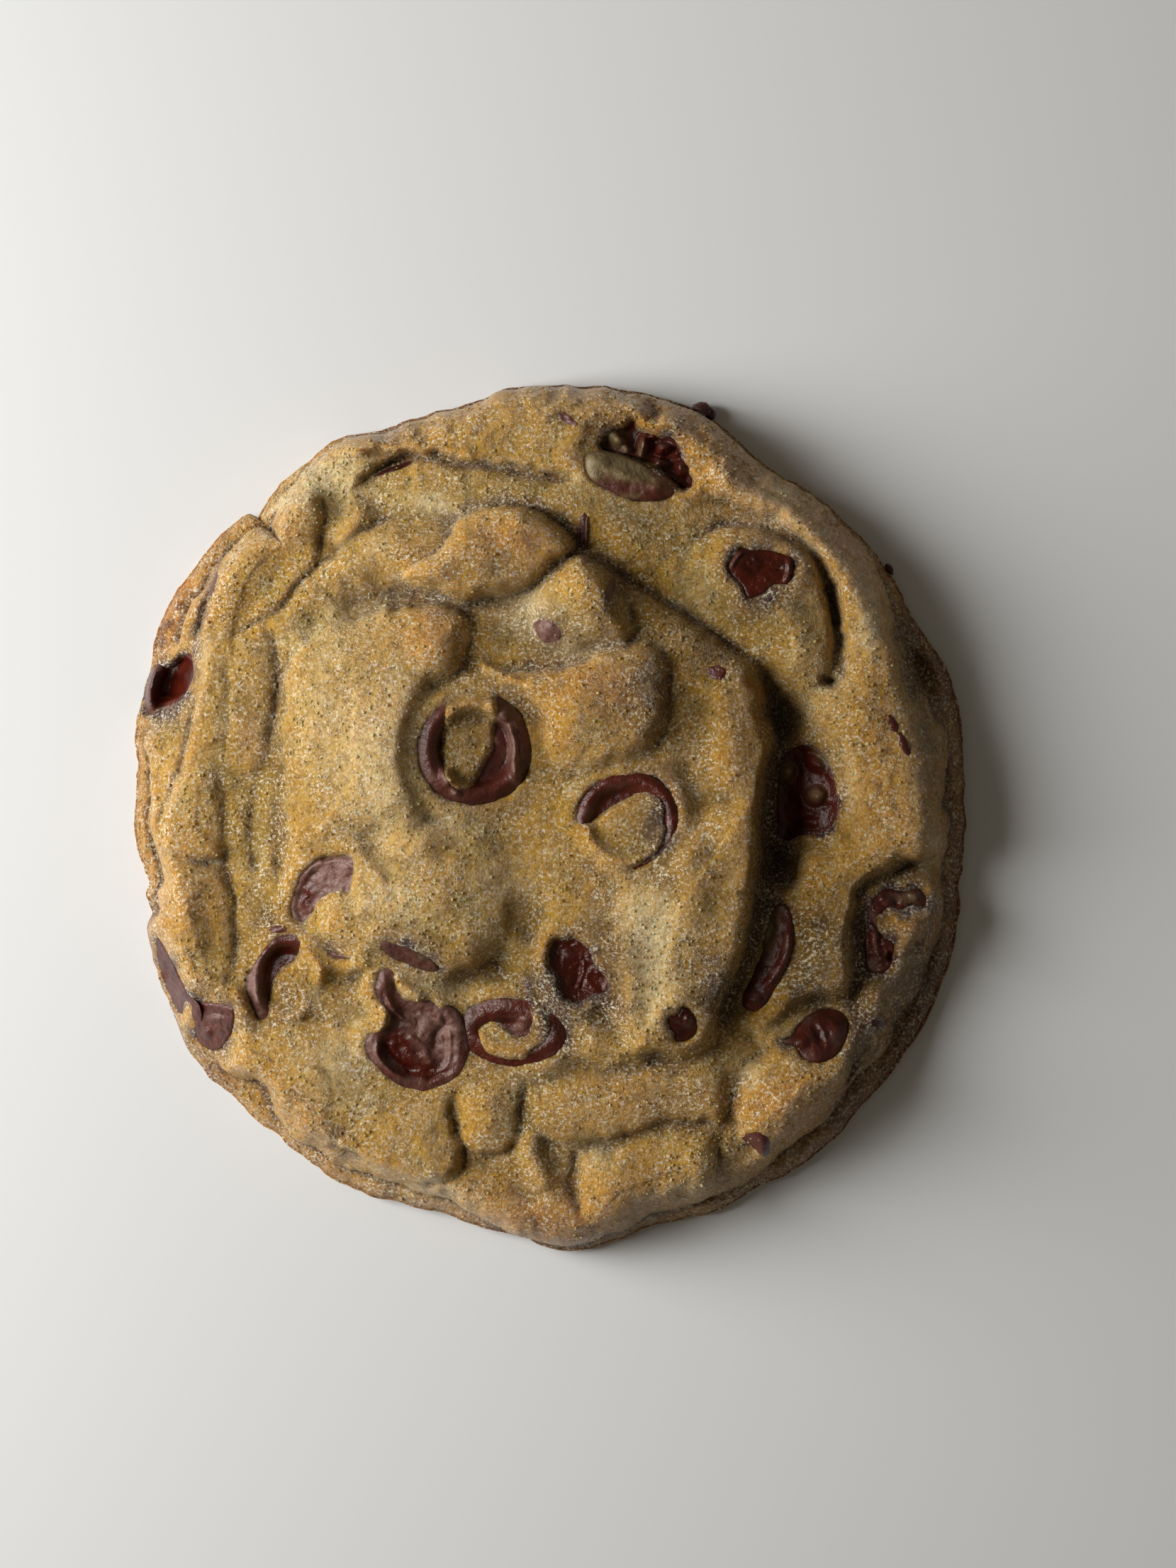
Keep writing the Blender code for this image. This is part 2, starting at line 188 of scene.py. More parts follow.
def quarter_round(t: Array) -> Array:
    """Rises from 0 to 1 like a rounded edge seen from the side."""
    return np.sqrt(1 - (1 - np.clip(t, 0, 1)) ** 2)


def soft_hump(t: Array) -> Array:
    """Falls from 1 at the middle to 0 at t = 1, level at both."""
    return (1 - np.clip(t, 0, 1) ** 2) ** 2


def smooth_step(t: Array) -> Array:
    """Rises from 0 to 1, level at both ends."""
    t = np.clip(t, 0, 1)
    return t * t * (3 - 2 * t)


def smooth_max(a: Array, b: Array, blend: float) -> Array:
    """The higher of two surfaces, with a soft join where they meet."""
    share = np.clip(0.5 + 0.5 * (a - b) / blend, 0, 1)
    return b * (1 - share) + a * share + blend * share * (1 - share)


def ellipse(x: Array, y: Array, place: Point, halves: Point, turn: float) -> Array:
    """How far out each place lies in an ellipse: 0 at its centre and 1 on its edge.

    Args:
        x: Places along X.
        y: Places along Y.
        place: The centre.
        halves: Half its length and half its width.
        turn: Its turn in degrees.

    Returns:
        The share of the way out.
    """
    c, s = math.cos(math.radians(turn)), math.sin(math.radians(turn))
    dx, dy = x - place[0], y - place[1]
    return np.hypot((dx * c + dy * s) / halves[0], (dy * c - dx * s) / halves[1])


# ------------------------------------------------------------------ the dough's features
@dataclass(frozen=True)
class Pad:
    """A pad of dough: its outline with the shoulder's width at each point, its heights, and how ragged it is."""

    outline: tuple[tuple[float, float, float], ...]
    top: float
    foot: float
    crown: float
    blend: float = 1.6
    ragged: float = 0.25

    def raise_on(self, x: Array, y: Array, height: Array) -> Array:
        """Lay the pad over the surface.

        Args:
            x: Places along X.
            y: Places along Y.
            height: The surface so far.

        Returns:
            The surface with the pad on it.
        """
        curve = smooth_curve(self.outline, closed=True)
        depth, _, share = measure_to(x, y, curve, 20.0, closed=True)
        ring = np.append(curve[:, 2], curve[0, 2])
        shoulder = np.interp(share, np.linspace(0, 1, len(ring)), ring)
        depth = np.where(is_inside(x, y, curve), depth, -depth) + self.ragged * rough(x, y, 2.2, 51, 3)
        risen = self.foot + (self.top - self.foot) * quarter_round(depth / shoulder)
        risen = risen + self.crown * smooth_step(depth / (3 * shoulder))
        return smooth_max(height, np.where(depth > 0, risen, self.foot + 1.6 * depth), self.blend)


@dataclass(frozen=True)
class Mound:
    """A mound, or a dip where the rise is below zero."""

    x: float
    y: float
    half_x: float
    half_y: float
    turn: float
    rise: float

    def raise_on(self, x: Array, y: Array, height: Array) -> Array:
        """Add the mound to the surface."""
        out = ellipse(x, y, (self.x, self.y), (self.half_x, self.half_y), self.turn)
        return height + self.rise * soft_hump(out)


class Form(Enum):
    """Kinds of stroke along a route."""

    RIDGE = "a rounded ridge"
    CREASE = "a narrow crease between two folds"
    HOLLOW = "a wide rounded hollow"
    LAP = "a fold that lies on the dough at its right"


@dataclass(frozen=True)
class Stroke:
    """A ridge, crease, hollow or lap along a route; size is its rise or depth, width its half width."""

    form: Form
    route: tuple[Point, ...]
    size: float
    width: float
    # brown laid along the stroke: partly the crease's own colour, partly painted shade in the crease
    brown_and_shade: float = 0.0

    def measures(self, x: Array, y: Array) -> tuple[Array, Array, Array]:
        """Distance, side, and how full the stroke is there, fading towards its ends."""
        curve = smooth_curve(self.route)
        distance, side, share = measure_to(x, y, curve, self.width * 4.5)
        full = smooth_step(np.minimum(share, 1 - share) / 0.16)
        return distance, side, full

    def raise_on(self, x: Array, y: Array, height: Array) -> Array:
        """Add the stroke to the surface.

        Args:
            x: Places along X.
            y: Places along Y.
            height: The surface so far.

        Returns:
            The surface with the stroke on it.
        """
        distance, side, full = self.measures(x, y)
        if self.form is Form.RIDGE:
            return height + self.size * (0.3 + 0.7 * full) * soft_hump(distance / (1.35 * self.width))
        if self.form is Form.HOLLOW:
            return height - self.size * (0.2 + 0.8 * full) * soft_hump(distance / (1.5 * self.width))
        width = max(self.width, 0.4) * (0.6 + 0.4 * full)
        cut = 0.62 * np.exp(-distance / (0.75 * width)) + 0.38 * np.exp(-(distance / (1.4 * width)) ** 2)
        if self.form is Form.CREASE:
            return height - self.size * (0.15 + 0.85 * full) * cut
        lifted = np.exp(-distance / (3.2 * self.width)) * quarter_round(distance / (1.1 * self.width))
        lap = np.where(side > 0, lifted, -0.35 * np.exp(-distance / (1.3 * self.width)))
        return height + self.size * full * lap


@dataclass(frozen=True)
class Patch:
    """An oval patch of one colour, soft at its edge."""

    x: float
    y: float
    half_x: float
    half_y: float
    turn: float
    strength: float

    def spread(self, x: Array, y: Array) -> Array:
        """How strong the colour is at each place."""
        out = ellipse(x, y, (self.x, self.y), (self.half_x, self.half_y), self.turn)
        return self.strength * np.exp(-(out ** 2))


class Tint(Enum):
    """The dough's colours that lie over its plain tan, each a painted layer; the deep layer is painted shade, the brown
    and cocoa layers are partly painted shade, and the pale and toast layers partly painted light.
    """

    TOAST_AND_PAINTED_LIGHT = "toast"
    COOL = "cool"
    PALE_AND_PAINTED_LIGHT = "pale"
    BROWN_AND_PAINTED_SHADE = "brown"
    COCOA_AND_PAINTED_SHADE = "cocoa"
    PAINTED_SHADE = "deep"


OUTLINE = (
    (-47.5, 0), (-47.0, 5), (-47.3, 8.5), (-46.7, 13), (-45.2, 18), (-45.1, 20.5), (-43.6, 24), (-42, 27),
    (-39.5, 30), (-37.8, 32), (-35.6, 34.2), (-34.0, 34.9), (-33.2, 34.2), (-32.5, 35.8), (-30, 39),
    (-27.3, 41), (-25, 43), (-22, 44.1), (-19, 44.5), (-16.5, 45.3), (-13, 46.5), (-10, 47), (-7, 48.2),
    (-5, 49.2), (-2, 49.4), (5, 49.7), (8, 49.2), (11, 48.7), (14, 48), (16.5, 47.2), (20, 45), (22.5, 43),
    (25, 40.6), (27.5, 39), (30, 37.5), (33, 35.3), (35, 33), (37, 31), (39, 28.5), (40.5, 26), (43, 21.5),
    (45, 18.5), (46.5, 15), (47.5, 11), (48, 4), (47.9, -3), (47.3, -8), (47.2, -12), (46.3, -16), (45, -20),
    (43.5, -23), (42.5, -25), (40, -28.5), (37.5, -31.5), (34.5, -35), (31.5, -38), (28, -40.5),
    (24, -42.5), (20, -44.8), (16, -46), (12, -46.8), (9, -48), (6, -49.2), (4, -49.6), (0, -49.2),
    (-4, -47.7), (-7.5, -46.9), (-12, -45.3), (-18, -44), (-22, -42.5), (-25, -41), (-28, -38.6),
    (-31, -36.5), (-34, -34), (-36, -32), (-38.5, -30), (-40, -28), (-42.5, -24), (-44, -20), (-45, -16),
    (-45.6, -12.5), (-45.3, -11), (-46, -8.7), (-45.6, -7.4), (-46.5, -5), (-47.3, -2),
)

TIER_ANGLES = (0, 20, 30, 38, 50, 90, 118, 126, 136, 146, 158, 170, 184, 196, 203, 212, 222, 232, 245, 255,
               266, 276, 286, 300, 315, 330, 345, 360)
TIER_INSETS = (2.0, 3.0, 2.4, 1.0, 0.5, 0.4, 0.6, 1.6, 2.4, 3.2, 3.0, 1.2, 2.6, 1.0, 2.0, 3.4, 3.4, 1.8, 2.6,
               2.6, 0.6, 1.2, 1.6, 2.6, 3.2, 3.4, 2.8, 2.0)

# Brown on the rim by direction: oven browning, and on the right and lower right, away from the light, painted shade as
# well.
BROWN_ANGLES = (0, 30, 60, 90, 120, 150, 180, 205, 225, 250, 270, 290, 320, 345, 360)
BROWN_AND_SHADE_SHARES = (0.9, 0.8, 0.35, 0.45, 0.25, 0.3, 0.15, 0.5, 0.4, 0.3, 0.3, 0.6, 1.1, 1.1, 0.9)

CRUMBLY = (
    (-27, 40, 7, 4, 35), (-12, 43.5, 8, 3.4, 12), (4, 46, 8, 3.4, -6), (18, 42, 7, 4, -30), (-41.5, 24, 2.4, 7, -28),
    (-36, 32.5, 3, 2.4, 40), (-15, 38.5, 4, 2, 10),
)

PADS = (
    # the puffed dome
    Pad(((-29.6, 11, 5), (-28.0, 17.5, 6), (-24, 21.5, 7), (-18, 23.6, 7), (-11, 24, 6), (-4, 27, 5),
         (3, 30, 3.5), (9.5, 28, 3.5), (14, 23.8, 3.5), (20, 19.9, 3.2), (23.8, 17.3, 3), (25.2, 13, 2.4),
         (26.4, 8.5, 1.8), (25.2, 5, 1.8), (24.8, 0, 2.2), (24.6, -6, 2.6), (22.8, -11, 3), (22, -16, 3.5),
         (20.4, -20.5, 4), (18, -24, 4), (14, -26.2, 3.5), (10, -28.2, 3), (4, -28, 5), (-1, -25, 6),
         (-4.5, -19, 5), (-9, -16.4, 3.5), (-13, -16.8, 3), (-17, -16.4, 1.6), (-20, -17.2, 1.2),
         (-25.5, -16, 1.4), (-28.8, -12, 2), (-29.8, -5, 4), (-29.4, 1, 5), (-28.8, 6, 5)),
        15.0, 9.6, 0.4, 1.8),
    # the lumps on the dome
    Pad(((-28.5, 17, 9), (-25, 21.3, 8), (-19, 23.4, 6), (-13, 24.4, 4), (-9.4, 23.4, 2.6), (-8.4, 20, 2.2),
         (-9.4, 16.4, 2.2), (-12.4, 13.8, 2.6), (-13.6, 8, 3), (-12.6, 2, 4), (-14, -1.4, 5), (-20, -3.4, 6),
         (-26, -4.6, 7), (-28.6, -3, 8), (-29.2, 3, 10), (-29.2, 10, 10)), 17.4, 13.4, 0.3, 2.2),
    Pad(((-16, 27.4, 3), (-12, 30, 3), (-10, 33, 2.4), (-6.5, 34.9, 2.4), (-3, 35, 2.4), (0, 33.7, 2.6),
         (2.2, 31.8, 2.4), (3.0, 29.8, 2), (0.6, 27.8, 2), (-2, 26.2, 2), (-6, 25.0, 2), (-11, 25.0, 2)),
        17.4, 12.4, 0.4, 1.5),
    Pad(((-1.2, 26.4, 3), (1.2, 28.4, 2.6), (3.8, 29.6, 2.4), (6.6, 28.2, 2.4), (8.8, 25.4, 2.4), (9.8, 21.8, 2.4),
         (8.8, 19.6, 2.4), (6, 19.2, 2.4), (3.4, 18.6, 2.6), (1.0, 18.8, 3), (-1.4, 20.4, 3), (-2.0, 23.5, 3)),
        17.6, 13.4, 0.3, 2.2),
    Pad(((-7.5, 18, 2.4), (-4, 17.2, 1.8), (0, 16.8, 1.6), (3.6, 17.6, 1.6), (6.6, 19.2, 1.8), (10.4, 20, 3),
         (13.2, 17.6, 3), (13.8, 13, 3.2), (12.6, 8.6, 3.5), (9, 5.6, 4), (4, 4.6, 5), (-0.6, 7.6, 4),
         (-1.4, 12, 4), (-5, 14.8, 3)), 18.0, 14.0, 0.4, 1.6),
    Pad(((-21, -2.4, 4), (-15, -0.4, 4), (-9, 0.4, 4), (-5, -2.4, 4.4), (-3.2, -8, 4.6), (-4, -13, 4.4),
         (-7, -16.5, 3.6), (-12, -17.2, 2.6), (-18, -16.2, 2.4), (-23, -15.6, 2.4), (-27, -13.6, 2.8), (-25, -8, 4)),
        16.8, 13.2, 0.4, 2.2),
    Pad(((10, -3.4, 4), (17, 1, 5), (23, 2, 3), (24.4, -4, 2.2), (23.4, -9, 2.2), (22.2, -14, 2), (20.8, -19, 2),
         (18.4, -23.6, 2.2), (14, -25.8, 2.2), (9.6, -26.2, 3), (6.4, -21, 4.5), (5.6, -14, 5), (7.4, -7.5, 5)),
        17.2, 13.4, 0.4, 1.8),
    # the crust round the north and the rim that runs down the east side
    Pad(((-22, 41.5, 2), (-17.5, 41.4, 1.2), (-12, 40.7, 0.9), (-6, 39.9, 0.9), (0, 39.1, 0.9), (4.6, 38.6, 0.9),
         (6.4, 40.6, 0.9), (7.2, 43.4, 1.2), (10, 46.6, 2), (4, 48.2, 2.4), (-4, 48, 2.4), (-12, 45.6, 2.4),
         (-19, 43.6, 2)), 12.0, 10.2, 0.3, 0.7, 0.55),
    Pad(((13.6, 41.6, 1.6), (12.6, 45.4, 2), (16.4, 46, 2.2), (21.6, 43.2, 2.4), (27.4, 38.8, 2.6), (32.8, 34.6, 3),
         (36.4, 30.4, 3), (38.4, 26.5, 2), (39.0, 22, 1.6), (39.8, 17, 1.6), (41, 12, 2.5), (43.5, 7, 3), (45.5, 1, 3),
         (44, -3.5, 2), (39, -5.6, 3), (34.4, -3.4, 3.5), (33.2, 1, 2.2), (33.2, 5, 2.2), (31.4, 8.6, 3), (28.8, 12.4, 3.5),
         (30.4, 14.8, 3), (33.2, 16, 2), (33.4, 22, 1.3), (32.4, 27, 1.3),
         (29, 31.6, 2), (24, 34.4, 3), (18, 36.6, 3)), 12.8, 9.4, 0.5, 1.2, 0.35),
    # the block at the upper left and the folds that hang from it
    Pad(((-36.6, 30.5, 1.2), (-33, 34.5, 2.2), (-29, 36, 2.4), (-26, 36.4, 1.8), (-24.7, 34, 1.6),
         (-24.9, 30.5, 1.8), (-26.2, 27.8, 2.6), (-30, 24, 2.8), (-31.4, 21.5, 2.6), (-30.5, 17, 1.8),
         (-30.7, 11, 1.4), (-31.4, 7.5, 1.2), (-33, 5.2, 1.2), (-35.5, 5.4, 1.4), (-37.6, 5.4, 1.6),
         (-40.6, 6.2, 1.2), (-40.2, 9, 1.0), (-39.4, 14, 1.0), (-39, 20, 1.0), (-38, 25, 1.0)),
        12.1, 10.7, 0.5, 1.8),
    Pad(((-43.6, -1, 1.2), (-42.5, 3, 1.4), (-40.4, 5.6, 1.6), (-37.6, 5.2, 2.0), (-36.0, 1, 2.4),
         (-36.2, -3, 1.6), (-38.6, -4.3, 1.0), (-43, -3.4, 1)), 11.1, 10.3, 0.5, 1.4),
    Pad(((-45, -9, 1.4), (-44.5, -5.5, 1.4), (-42, -3.9, 1.2), (-38.5, -4.6, 1.4), (-36.2, -6, 2.2),
         (-35.2, -12, 2.4), (-35.2, -18, 1.6), (-36.5, -20, 1.2), (-40.3, -20.2, 1.2), (-42, -17, 1.2),
         (-44, -13, 1.2)), 11.1, 9.8, 0.7, 1.5),
    # the lobes along the lower left and the bottom
    Pad(((-37.4, -24.5, 1.2), (-33, -22.5, 3), (-26, -21, 6), (-18, -24, 6), (-17, -31, 5), (-24, -37, 2.4),
         (-29, -34.6, 2), (-33, -32.6, 1.8), (-35.6, -29.5, 1.6)), 11.8, 8.6, 0.6, 2.0),
    Pad(((-24, -36, 2), (-21.5, -37.6, 1.4), (-19, -39.7, 1.4), (-14.8, -41.2, 1.3), (-10.8, -40.8, 1.6),
         (-9.3, -38, 1.6), (-10.3, -33, 1.6), (-12, -27.5, 4), (-17, -26.5, 5), (-24, -29.5, 5)),
        11.8, 9.0, 0.5, 1.4),
    Pad(((-10.4, -31, 1.6), (-9.4, -36, 1.6), (-7.4, -37.8, 1.4), (-4.4, -37.2, 1.4), (-2.8, -33, 1.5),
         (-2.6, -29.3, 2), (-5, -27.5, 3), (-8.5, -28, 3)), 12.0, 10.7, 0.5, 1.5),
    Pad(((-12.8, -41.6, 1.2), (-9.6, -39.6, 1.6), (-5.4, -39.8, 1.8), (-2.5, -42, 2), (-1.2, -46.5, 3),
         (-5, -47.5, 2.5), (-9.5, -45.6, 2)), 10.2, 7.6, 0.5, 1.4),
    Pad(((3.4, -41, 1.3), (3.8, -37.8, 1.4), (8, -36.3, 1.8), (12.5, -34.9, 2.5), (17, -34.8, 3),
         (19, -37, 2.4), (18.9, -42, 2.6), (15, -45, 3), (9, -46.8, 3), (4.6, -45.3, 1.6)),
        11.6, 8.6, 0.6, 1.2),
    Pad(((-1.5, -31, 4), (3, -28.5, 4), (10, -26, 5), (18, -24.8, 4), (20.2, -30, 2.6), (19.5, -34, 2),
         (13, -34.4, 2), (8, -35.8, 1.8), (3, -36.7, 1.8), (-0.8, -35.5, 2)), 12.5, 10.6, 0.4, 1.5),
    Pad(((20.6, -33, 3), (21.6, -29, 3), (24.5, -25.8, 3), (30, -23.5, 4), (33.7, -25, 1.8),
         (33.9, -30, 2), (31, -36, 3), (26.5, -38.2, 4), (22, -37, 4)), 12.8, 9.2, 1.0, 1.6),
    # the folds on the right
    Pad(((27.2, -3.6, 1.6), (29.4, -2.2, 2), (33.4, -1.8, 3), (38, 1, 5), (40.5, 0, 4), (39.5, -5.6, 2), (35.4, -8.4, 1.4),
         (34.8, -17, 1.4), (33.4, -21, 2), (29.5, -21.6, 2.4), (26, -23.5, 2), (23.6, -25.3, 2),
         (22, -22.5, 2), (25.8, -18, 1.6), (28, -14, 1.4), (28.2, -9, 1.4)), 12.4, 9.8, 0.5, 1.4),
    Pad(((15.2, 27.5, 4), (17.5, 31.6, 3), (22, 33, 3), (27, 31.8, 3), (30.5, 28.8, 2.4), (32.4, 24, 1.8),
         (32.4, 19, 1.8), (30.6, 15, 3), (26.5, 13.2, 3), (24.6, 16.6, 3), (20.5, 20.2, 3.4), (16, 23.2, 4)),
        12.4, 10.8, 1.5, 1.3),
)

MOUNDS = (
    Mound(-15.8, 7, 9, 13, 6, 2.3), Mound(-14.6, -2.2, 4.4, 3, -10, 1.3),
    Mound(-3.6, 22.4, 4.6, 4.4, -10, -1.4),       # the hollow left of the knob
    Mound(4.8, 25.0, 4.6, 5.4, 18, 1.9), Mound(7.0, 23.0, 1.6, 3.4, 20, 0.4),
    Mound(-3.4, 31.6, 3.6, 2.6, 0, 0.7),
    Mound(-13.0, 19.0, 3.6, 4.0, 20, 0.8),
    Mound(4.0, 12.4, 6.0, 5.0, 35, 0.8),
    Mound(-1.4, -11, 3.4, 5.4, -10, -1.0),
    Mound(-5.6, -15.6, 3.4, 3.4, 0, -0.8),
    Mound(16.6, 10, 3.6, 11.0, -6, -0.8),
    Mound(20.6, 8, 3.0, 8.0, 6, 0.8),
    Mound(15.5, -8, 4.5, 6, 0, 0.5),
    Mound(-13.5, -7, 8, 7, -15, 0.8),
    Mound(-26.5, 21.5, 3.2, 4.2, -35, -1.0),
    Mound(-24, -27, 9, 8, -30, 0.8),
    Mound(41, -11.6, 3.2, 3.0, 0, 3.0),           # the ball on the right edge
    Mound(-22, 33.4, 4.0, 2.4, 28, 1.8),
    Mound(-40.6, -12, 3.0, 6.0, 10, 0.8),
    Mound(26.5, -31.5, 5.5, 4.5, 0, 0.9),
    Mound(8, -41, 5, 3.6, 0, 0.8),
    Mound(-6.4, -33, 3, 4, 0, 0.6),
    Mound(35, 12, 4, 8, 0, 0.6),
    Mound(21, 37, 6, 3, -15, 0.7),
)

STROKES = (
    Stroke(Form.RIDGE, ((-9, 29.4), (-14, 30), (-19.5, 29.8), (-24, 26.6), (-28, 22.6), (-31, 18)), 3.3, 3.8),
    Stroke(Form.RIDGE, ((-20, 36), (-12, 37), (-4, 36.4), (3, 34.8), (9, 32), (14, 29.5)), 1.5, 3.4),
    Stroke(Form.RIDGE, ((-32, 36.5), (-26, 40), (-19, 42.4)), 1.3, 3.4),
    Stroke(Form.RIDGE, ((-34.8, 4), (-34.9, -1), (-34, -5), (-34.3, -10)), 0.4, 1.4),
    Stroke(Form.RIDGE, ((-31.9, 4), (-31.3, -1), (-31.9, -6), (-30.8, -9)), 0.4, 1.2),
    Stroke(Form.HOLLOW, ((-34.6, 6), (-33.6, 0), (-33.2, -6), (-32.4, -12)), 0.7, 2.6),
    Stroke(Form.RIDGE, ((-45.4, 10), (-45.7, 4), (-45.4, -2)), 1.2, 1.7),
    Stroke(Form.RIDGE, ((-43.4, 20), (-41.2, 25), (-38, 30.6)), 1.4, 1.8),
    Stroke(Form.RIDGE, ((-2.2, -35), (-1.2, -39), (0.6, -42)), 1.6, 1.6),
    Stroke(Form.RIDGE, ((-3, -46), (2, -46.4), (5.5, -46.2)), 1.2, 3.0),
    Stroke(Form.RIDGE, ((37.6, -18), (37.8, -24), (35.8, -29.5)), 1.0, 1.8),
    Stroke(Form.RIDGE, ((8.6, -12), (8.6, -18), (8.0, -23)), 0.7, 2.2),
    Stroke(Form.RIDGE, ((22, -40.5), (27, -37.5), (31, -34)), 0.9, 2.0),
    Stroke(Form.RIDGE, ((15.5, -2), (17, -8), (15, -13)), 0.5, 2.0),
    # the deep crevice right of the dome and its tail
    Stroke(Form.HOLLOW, ((25.4, 15), (26.6, 11), (28.4, 6), (28.2, 1), (26.6, -4), (25.8, -9)), 5.4, 2.5, 1.0),
    Stroke(Form.CREASE, ((24.2, 17.2), (25.6, 13.6), (26.6, 9), (26, 4), (25.6, -2), (25.6, -7)), 1.86, 0.6, 1.0),
    Stroke(Form.CREASE, ((25.8, -6.5), (24.2, -10), (23.2, -15), (21.5, -20.5), (18.6, -24.6)), 1.18, 0.6, 0.8),
    Stroke(Form.CREASE, ((6, 29.6), (10, 26.5), (13.4, 24.2), (17, 21.9), (20, 19.7), (24.2, 17.2)), 1.18, 0.45, 0.8),
    Stroke(Form.CREASE, ((16.6, 31.6), (20, 33), (25, 32.6), (29, 30.5), (32.0, 27), (33.0, 22), (32.6, 17.8),
                         (31.2, 14.8)), 1.05, 0.39, 0.6),
    # the line under the upper crust
    Stroke(Form.LAP, ((-14, 40.6), (-16.6, 40.4), (-19.5, 38.9), (-22.5, 36.9)), -1.0, 1.2, 0.0),
    Stroke(Form.CREASE, ((31.5, 27), (32.5, 24.6), (33.0, 21.4)), 2.4, 0.5, 1.0),
    Stroke(Form.CREASE, ((30.6, 15.9), (31.6, 15.3), (32.4, 15.4)), 2.2, 0.45, 1.0),
    Stroke(Form.CREASE, ((-21.5, 37.8), (-18.5, 39.4), (-15.5, 40.6), (-13.5, 40.2)), 1.86, 0.42, 1.0),
    Stroke(Form.CREASE, ((-14, 40.3), (-8, 39.6), (-2, 38.9), (4, 37.6)), 0.93, 0.3, 0.5),
    Stroke(Form.CREASE, ((-14, 34), (-17.2, 33.6), (-20.2, 32.3), (-23, 30.4), (-25.8, 28.1), (-28.6, 25.1),
                         (-31.2, 22.7), (-35, 20.9)), 0.9, 0.42, 0.45),
    Stroke(Form.CREASE, ((-25.3, 37), (-24.9, 33), (-25.1, 29.6)), 0.74, 0.33, 0.5),
    Stroke(Form.CREASE, ((-28.6, 19.4), (-30.2, 14.5), (-30.6, 11), (-31.2, 8)), 0.55, 0.48, 0.3),
    Stroke(Form.CREASE, ((-33.5, 5.2), (-32.9, 2), (-33.6, -2), (-33.1, -6.5)), 0.35, 0.4, 0.25),
    Stroke(Form.CREASE, ((-30.1, 3), (-30.5, -1.5), (-30.4, -6), (-29.4, -10.6)), 0.3, 0.4, 0.25),
    Stroke(Form.CREASE, ((-33.6, -3.4), (-32.4, -5.6), (-30.9, -5.9)), 0.35, 0.35, 0.2),
    Stroke(Form.CREASE, ((-8, 25.0), (-12, 25.0), (-18, 25.8), (-23, 23.6)), 0.5, 0.66, 0.2),
    Stroke(Form.CREASE, ((-10.3, 34.3), (-10.3, 32.4), (-10.8, 31)), 0.68, 0.36, 0.4),
    Stroke(Form.CREASE, ((-10.3, 34), (-8, 35.2), (-4, 35.4), (0.6, 33.8), (2.8, 31.4)), 0.56, 0.48, 0.3),
    Stroke(Form.CREASE, ((-36.9, 31.2), (-37.4, 28), (-38.9, 23), (-39.7, 19.5), (-39.9, 16)), 2.11, 0.45, 1.0),
    Stroke(Form.CREASE, ((-39.8, 17), (-39.7, 12), (-40.8, 7.5), (-42.2, 3.6), (-44.0, 0), (-44.3, -3)), 0.99, 0.36, 0.5),
    Stroke(Form.CREASE, ((-30.6, 22), (-30.2, 17), (-30.4, 13)), 0.43, 0.36, 0.2),
    Stroke(Form.CREASE, ((-35.6, 19), (-35.3, 12), (-36.2, 6)), 0.35, 0.48, 0.15),
    Stroke(Form.CREASE, ((-36.8, 6), (-36.3, 0), (-36.4, -5), (-35.2, -10), (-35, -19)), 0.7, 0.48, 0.35),
    Stroke(Form.CREASE, ((-44, -3.2), (-41, -4.0), (-38.4, -4.5), (-36.6, -4)), 0.6, 0.3, 0.5),
    Stroke(Form.CREASE, ((-27, -4.4), (-22, -4.2), (-17, -2.8)), 0.25, 0.42, 0.2),
    Stroke(Form.CREASE, ((5, -28.6), (10, -28.6), (14, -26.7), (18.4, -24.4)), 0.3, 0.42, 0.3),
    Stroke(Form.CREASE, ((2.8, -37.6), (8, -36.2), (12, -34.8), (17.5, -34.5), (20, -33)), 0.3, 0.3, 0.35),
    Stroke(Form.CREASE, ((3.4, -37), (2.6, -41), (4.2, -45.4)), 0.7, 0.33, 0.6),
    Stroke(Form.CREASE, ((20.3, -28.2), (19.7, -33), (19.4, -37.5), (19.0, -42)), 0.45, 0.36, 0.3),
    Stroke(Form.CREASE, ((-2.4, -29), (-2.7, -33), (-3.6, -37), (-8, -38.6)), 0.75, 0.36, 0.55),
    Stroke(Form.CREASE, ((-10.6, -30), (-10.3, -34), (-9.2, -38), (-12, -41)), 0.4, 0.33, 0.3),
    Stroke(Form.CREASE, ((35.3, -8.6), (35.5, -13), (35.3, -18), (34.7, -24), (34.5, -29.5), (31.5, -35)),
           2.5, 0.75, 1.0),
    Stroke(Form.CREASE, ((34.8, -9.3), (38, -7.6), (40.4, -6.6), (42.6, -5.2)), 2.3, 0.42, 1.0),
    Stroke(Form.CREASE, ((43.8, -9), (43.2, -13), (40.6, -15.4), (38, -15)), 0.87, 0.36, 0.8),
    Stroke(Form.CREASE, ((25.6, -25.4), (22.8, -27.5), (21.2, -31)), 0.5, 0.36, 0.3),
    Stroke(Form.HOLLOW, ((40.0, 25), (41.4, 19), (42.8, 13)), 2.8, 1.7, 0.9),
    Stroke(Form.HOLLOW, ((-4, -15), (1, -14.5), (6, -20), (8.5, -26)), 0.8, 2.0, 0.0),
)

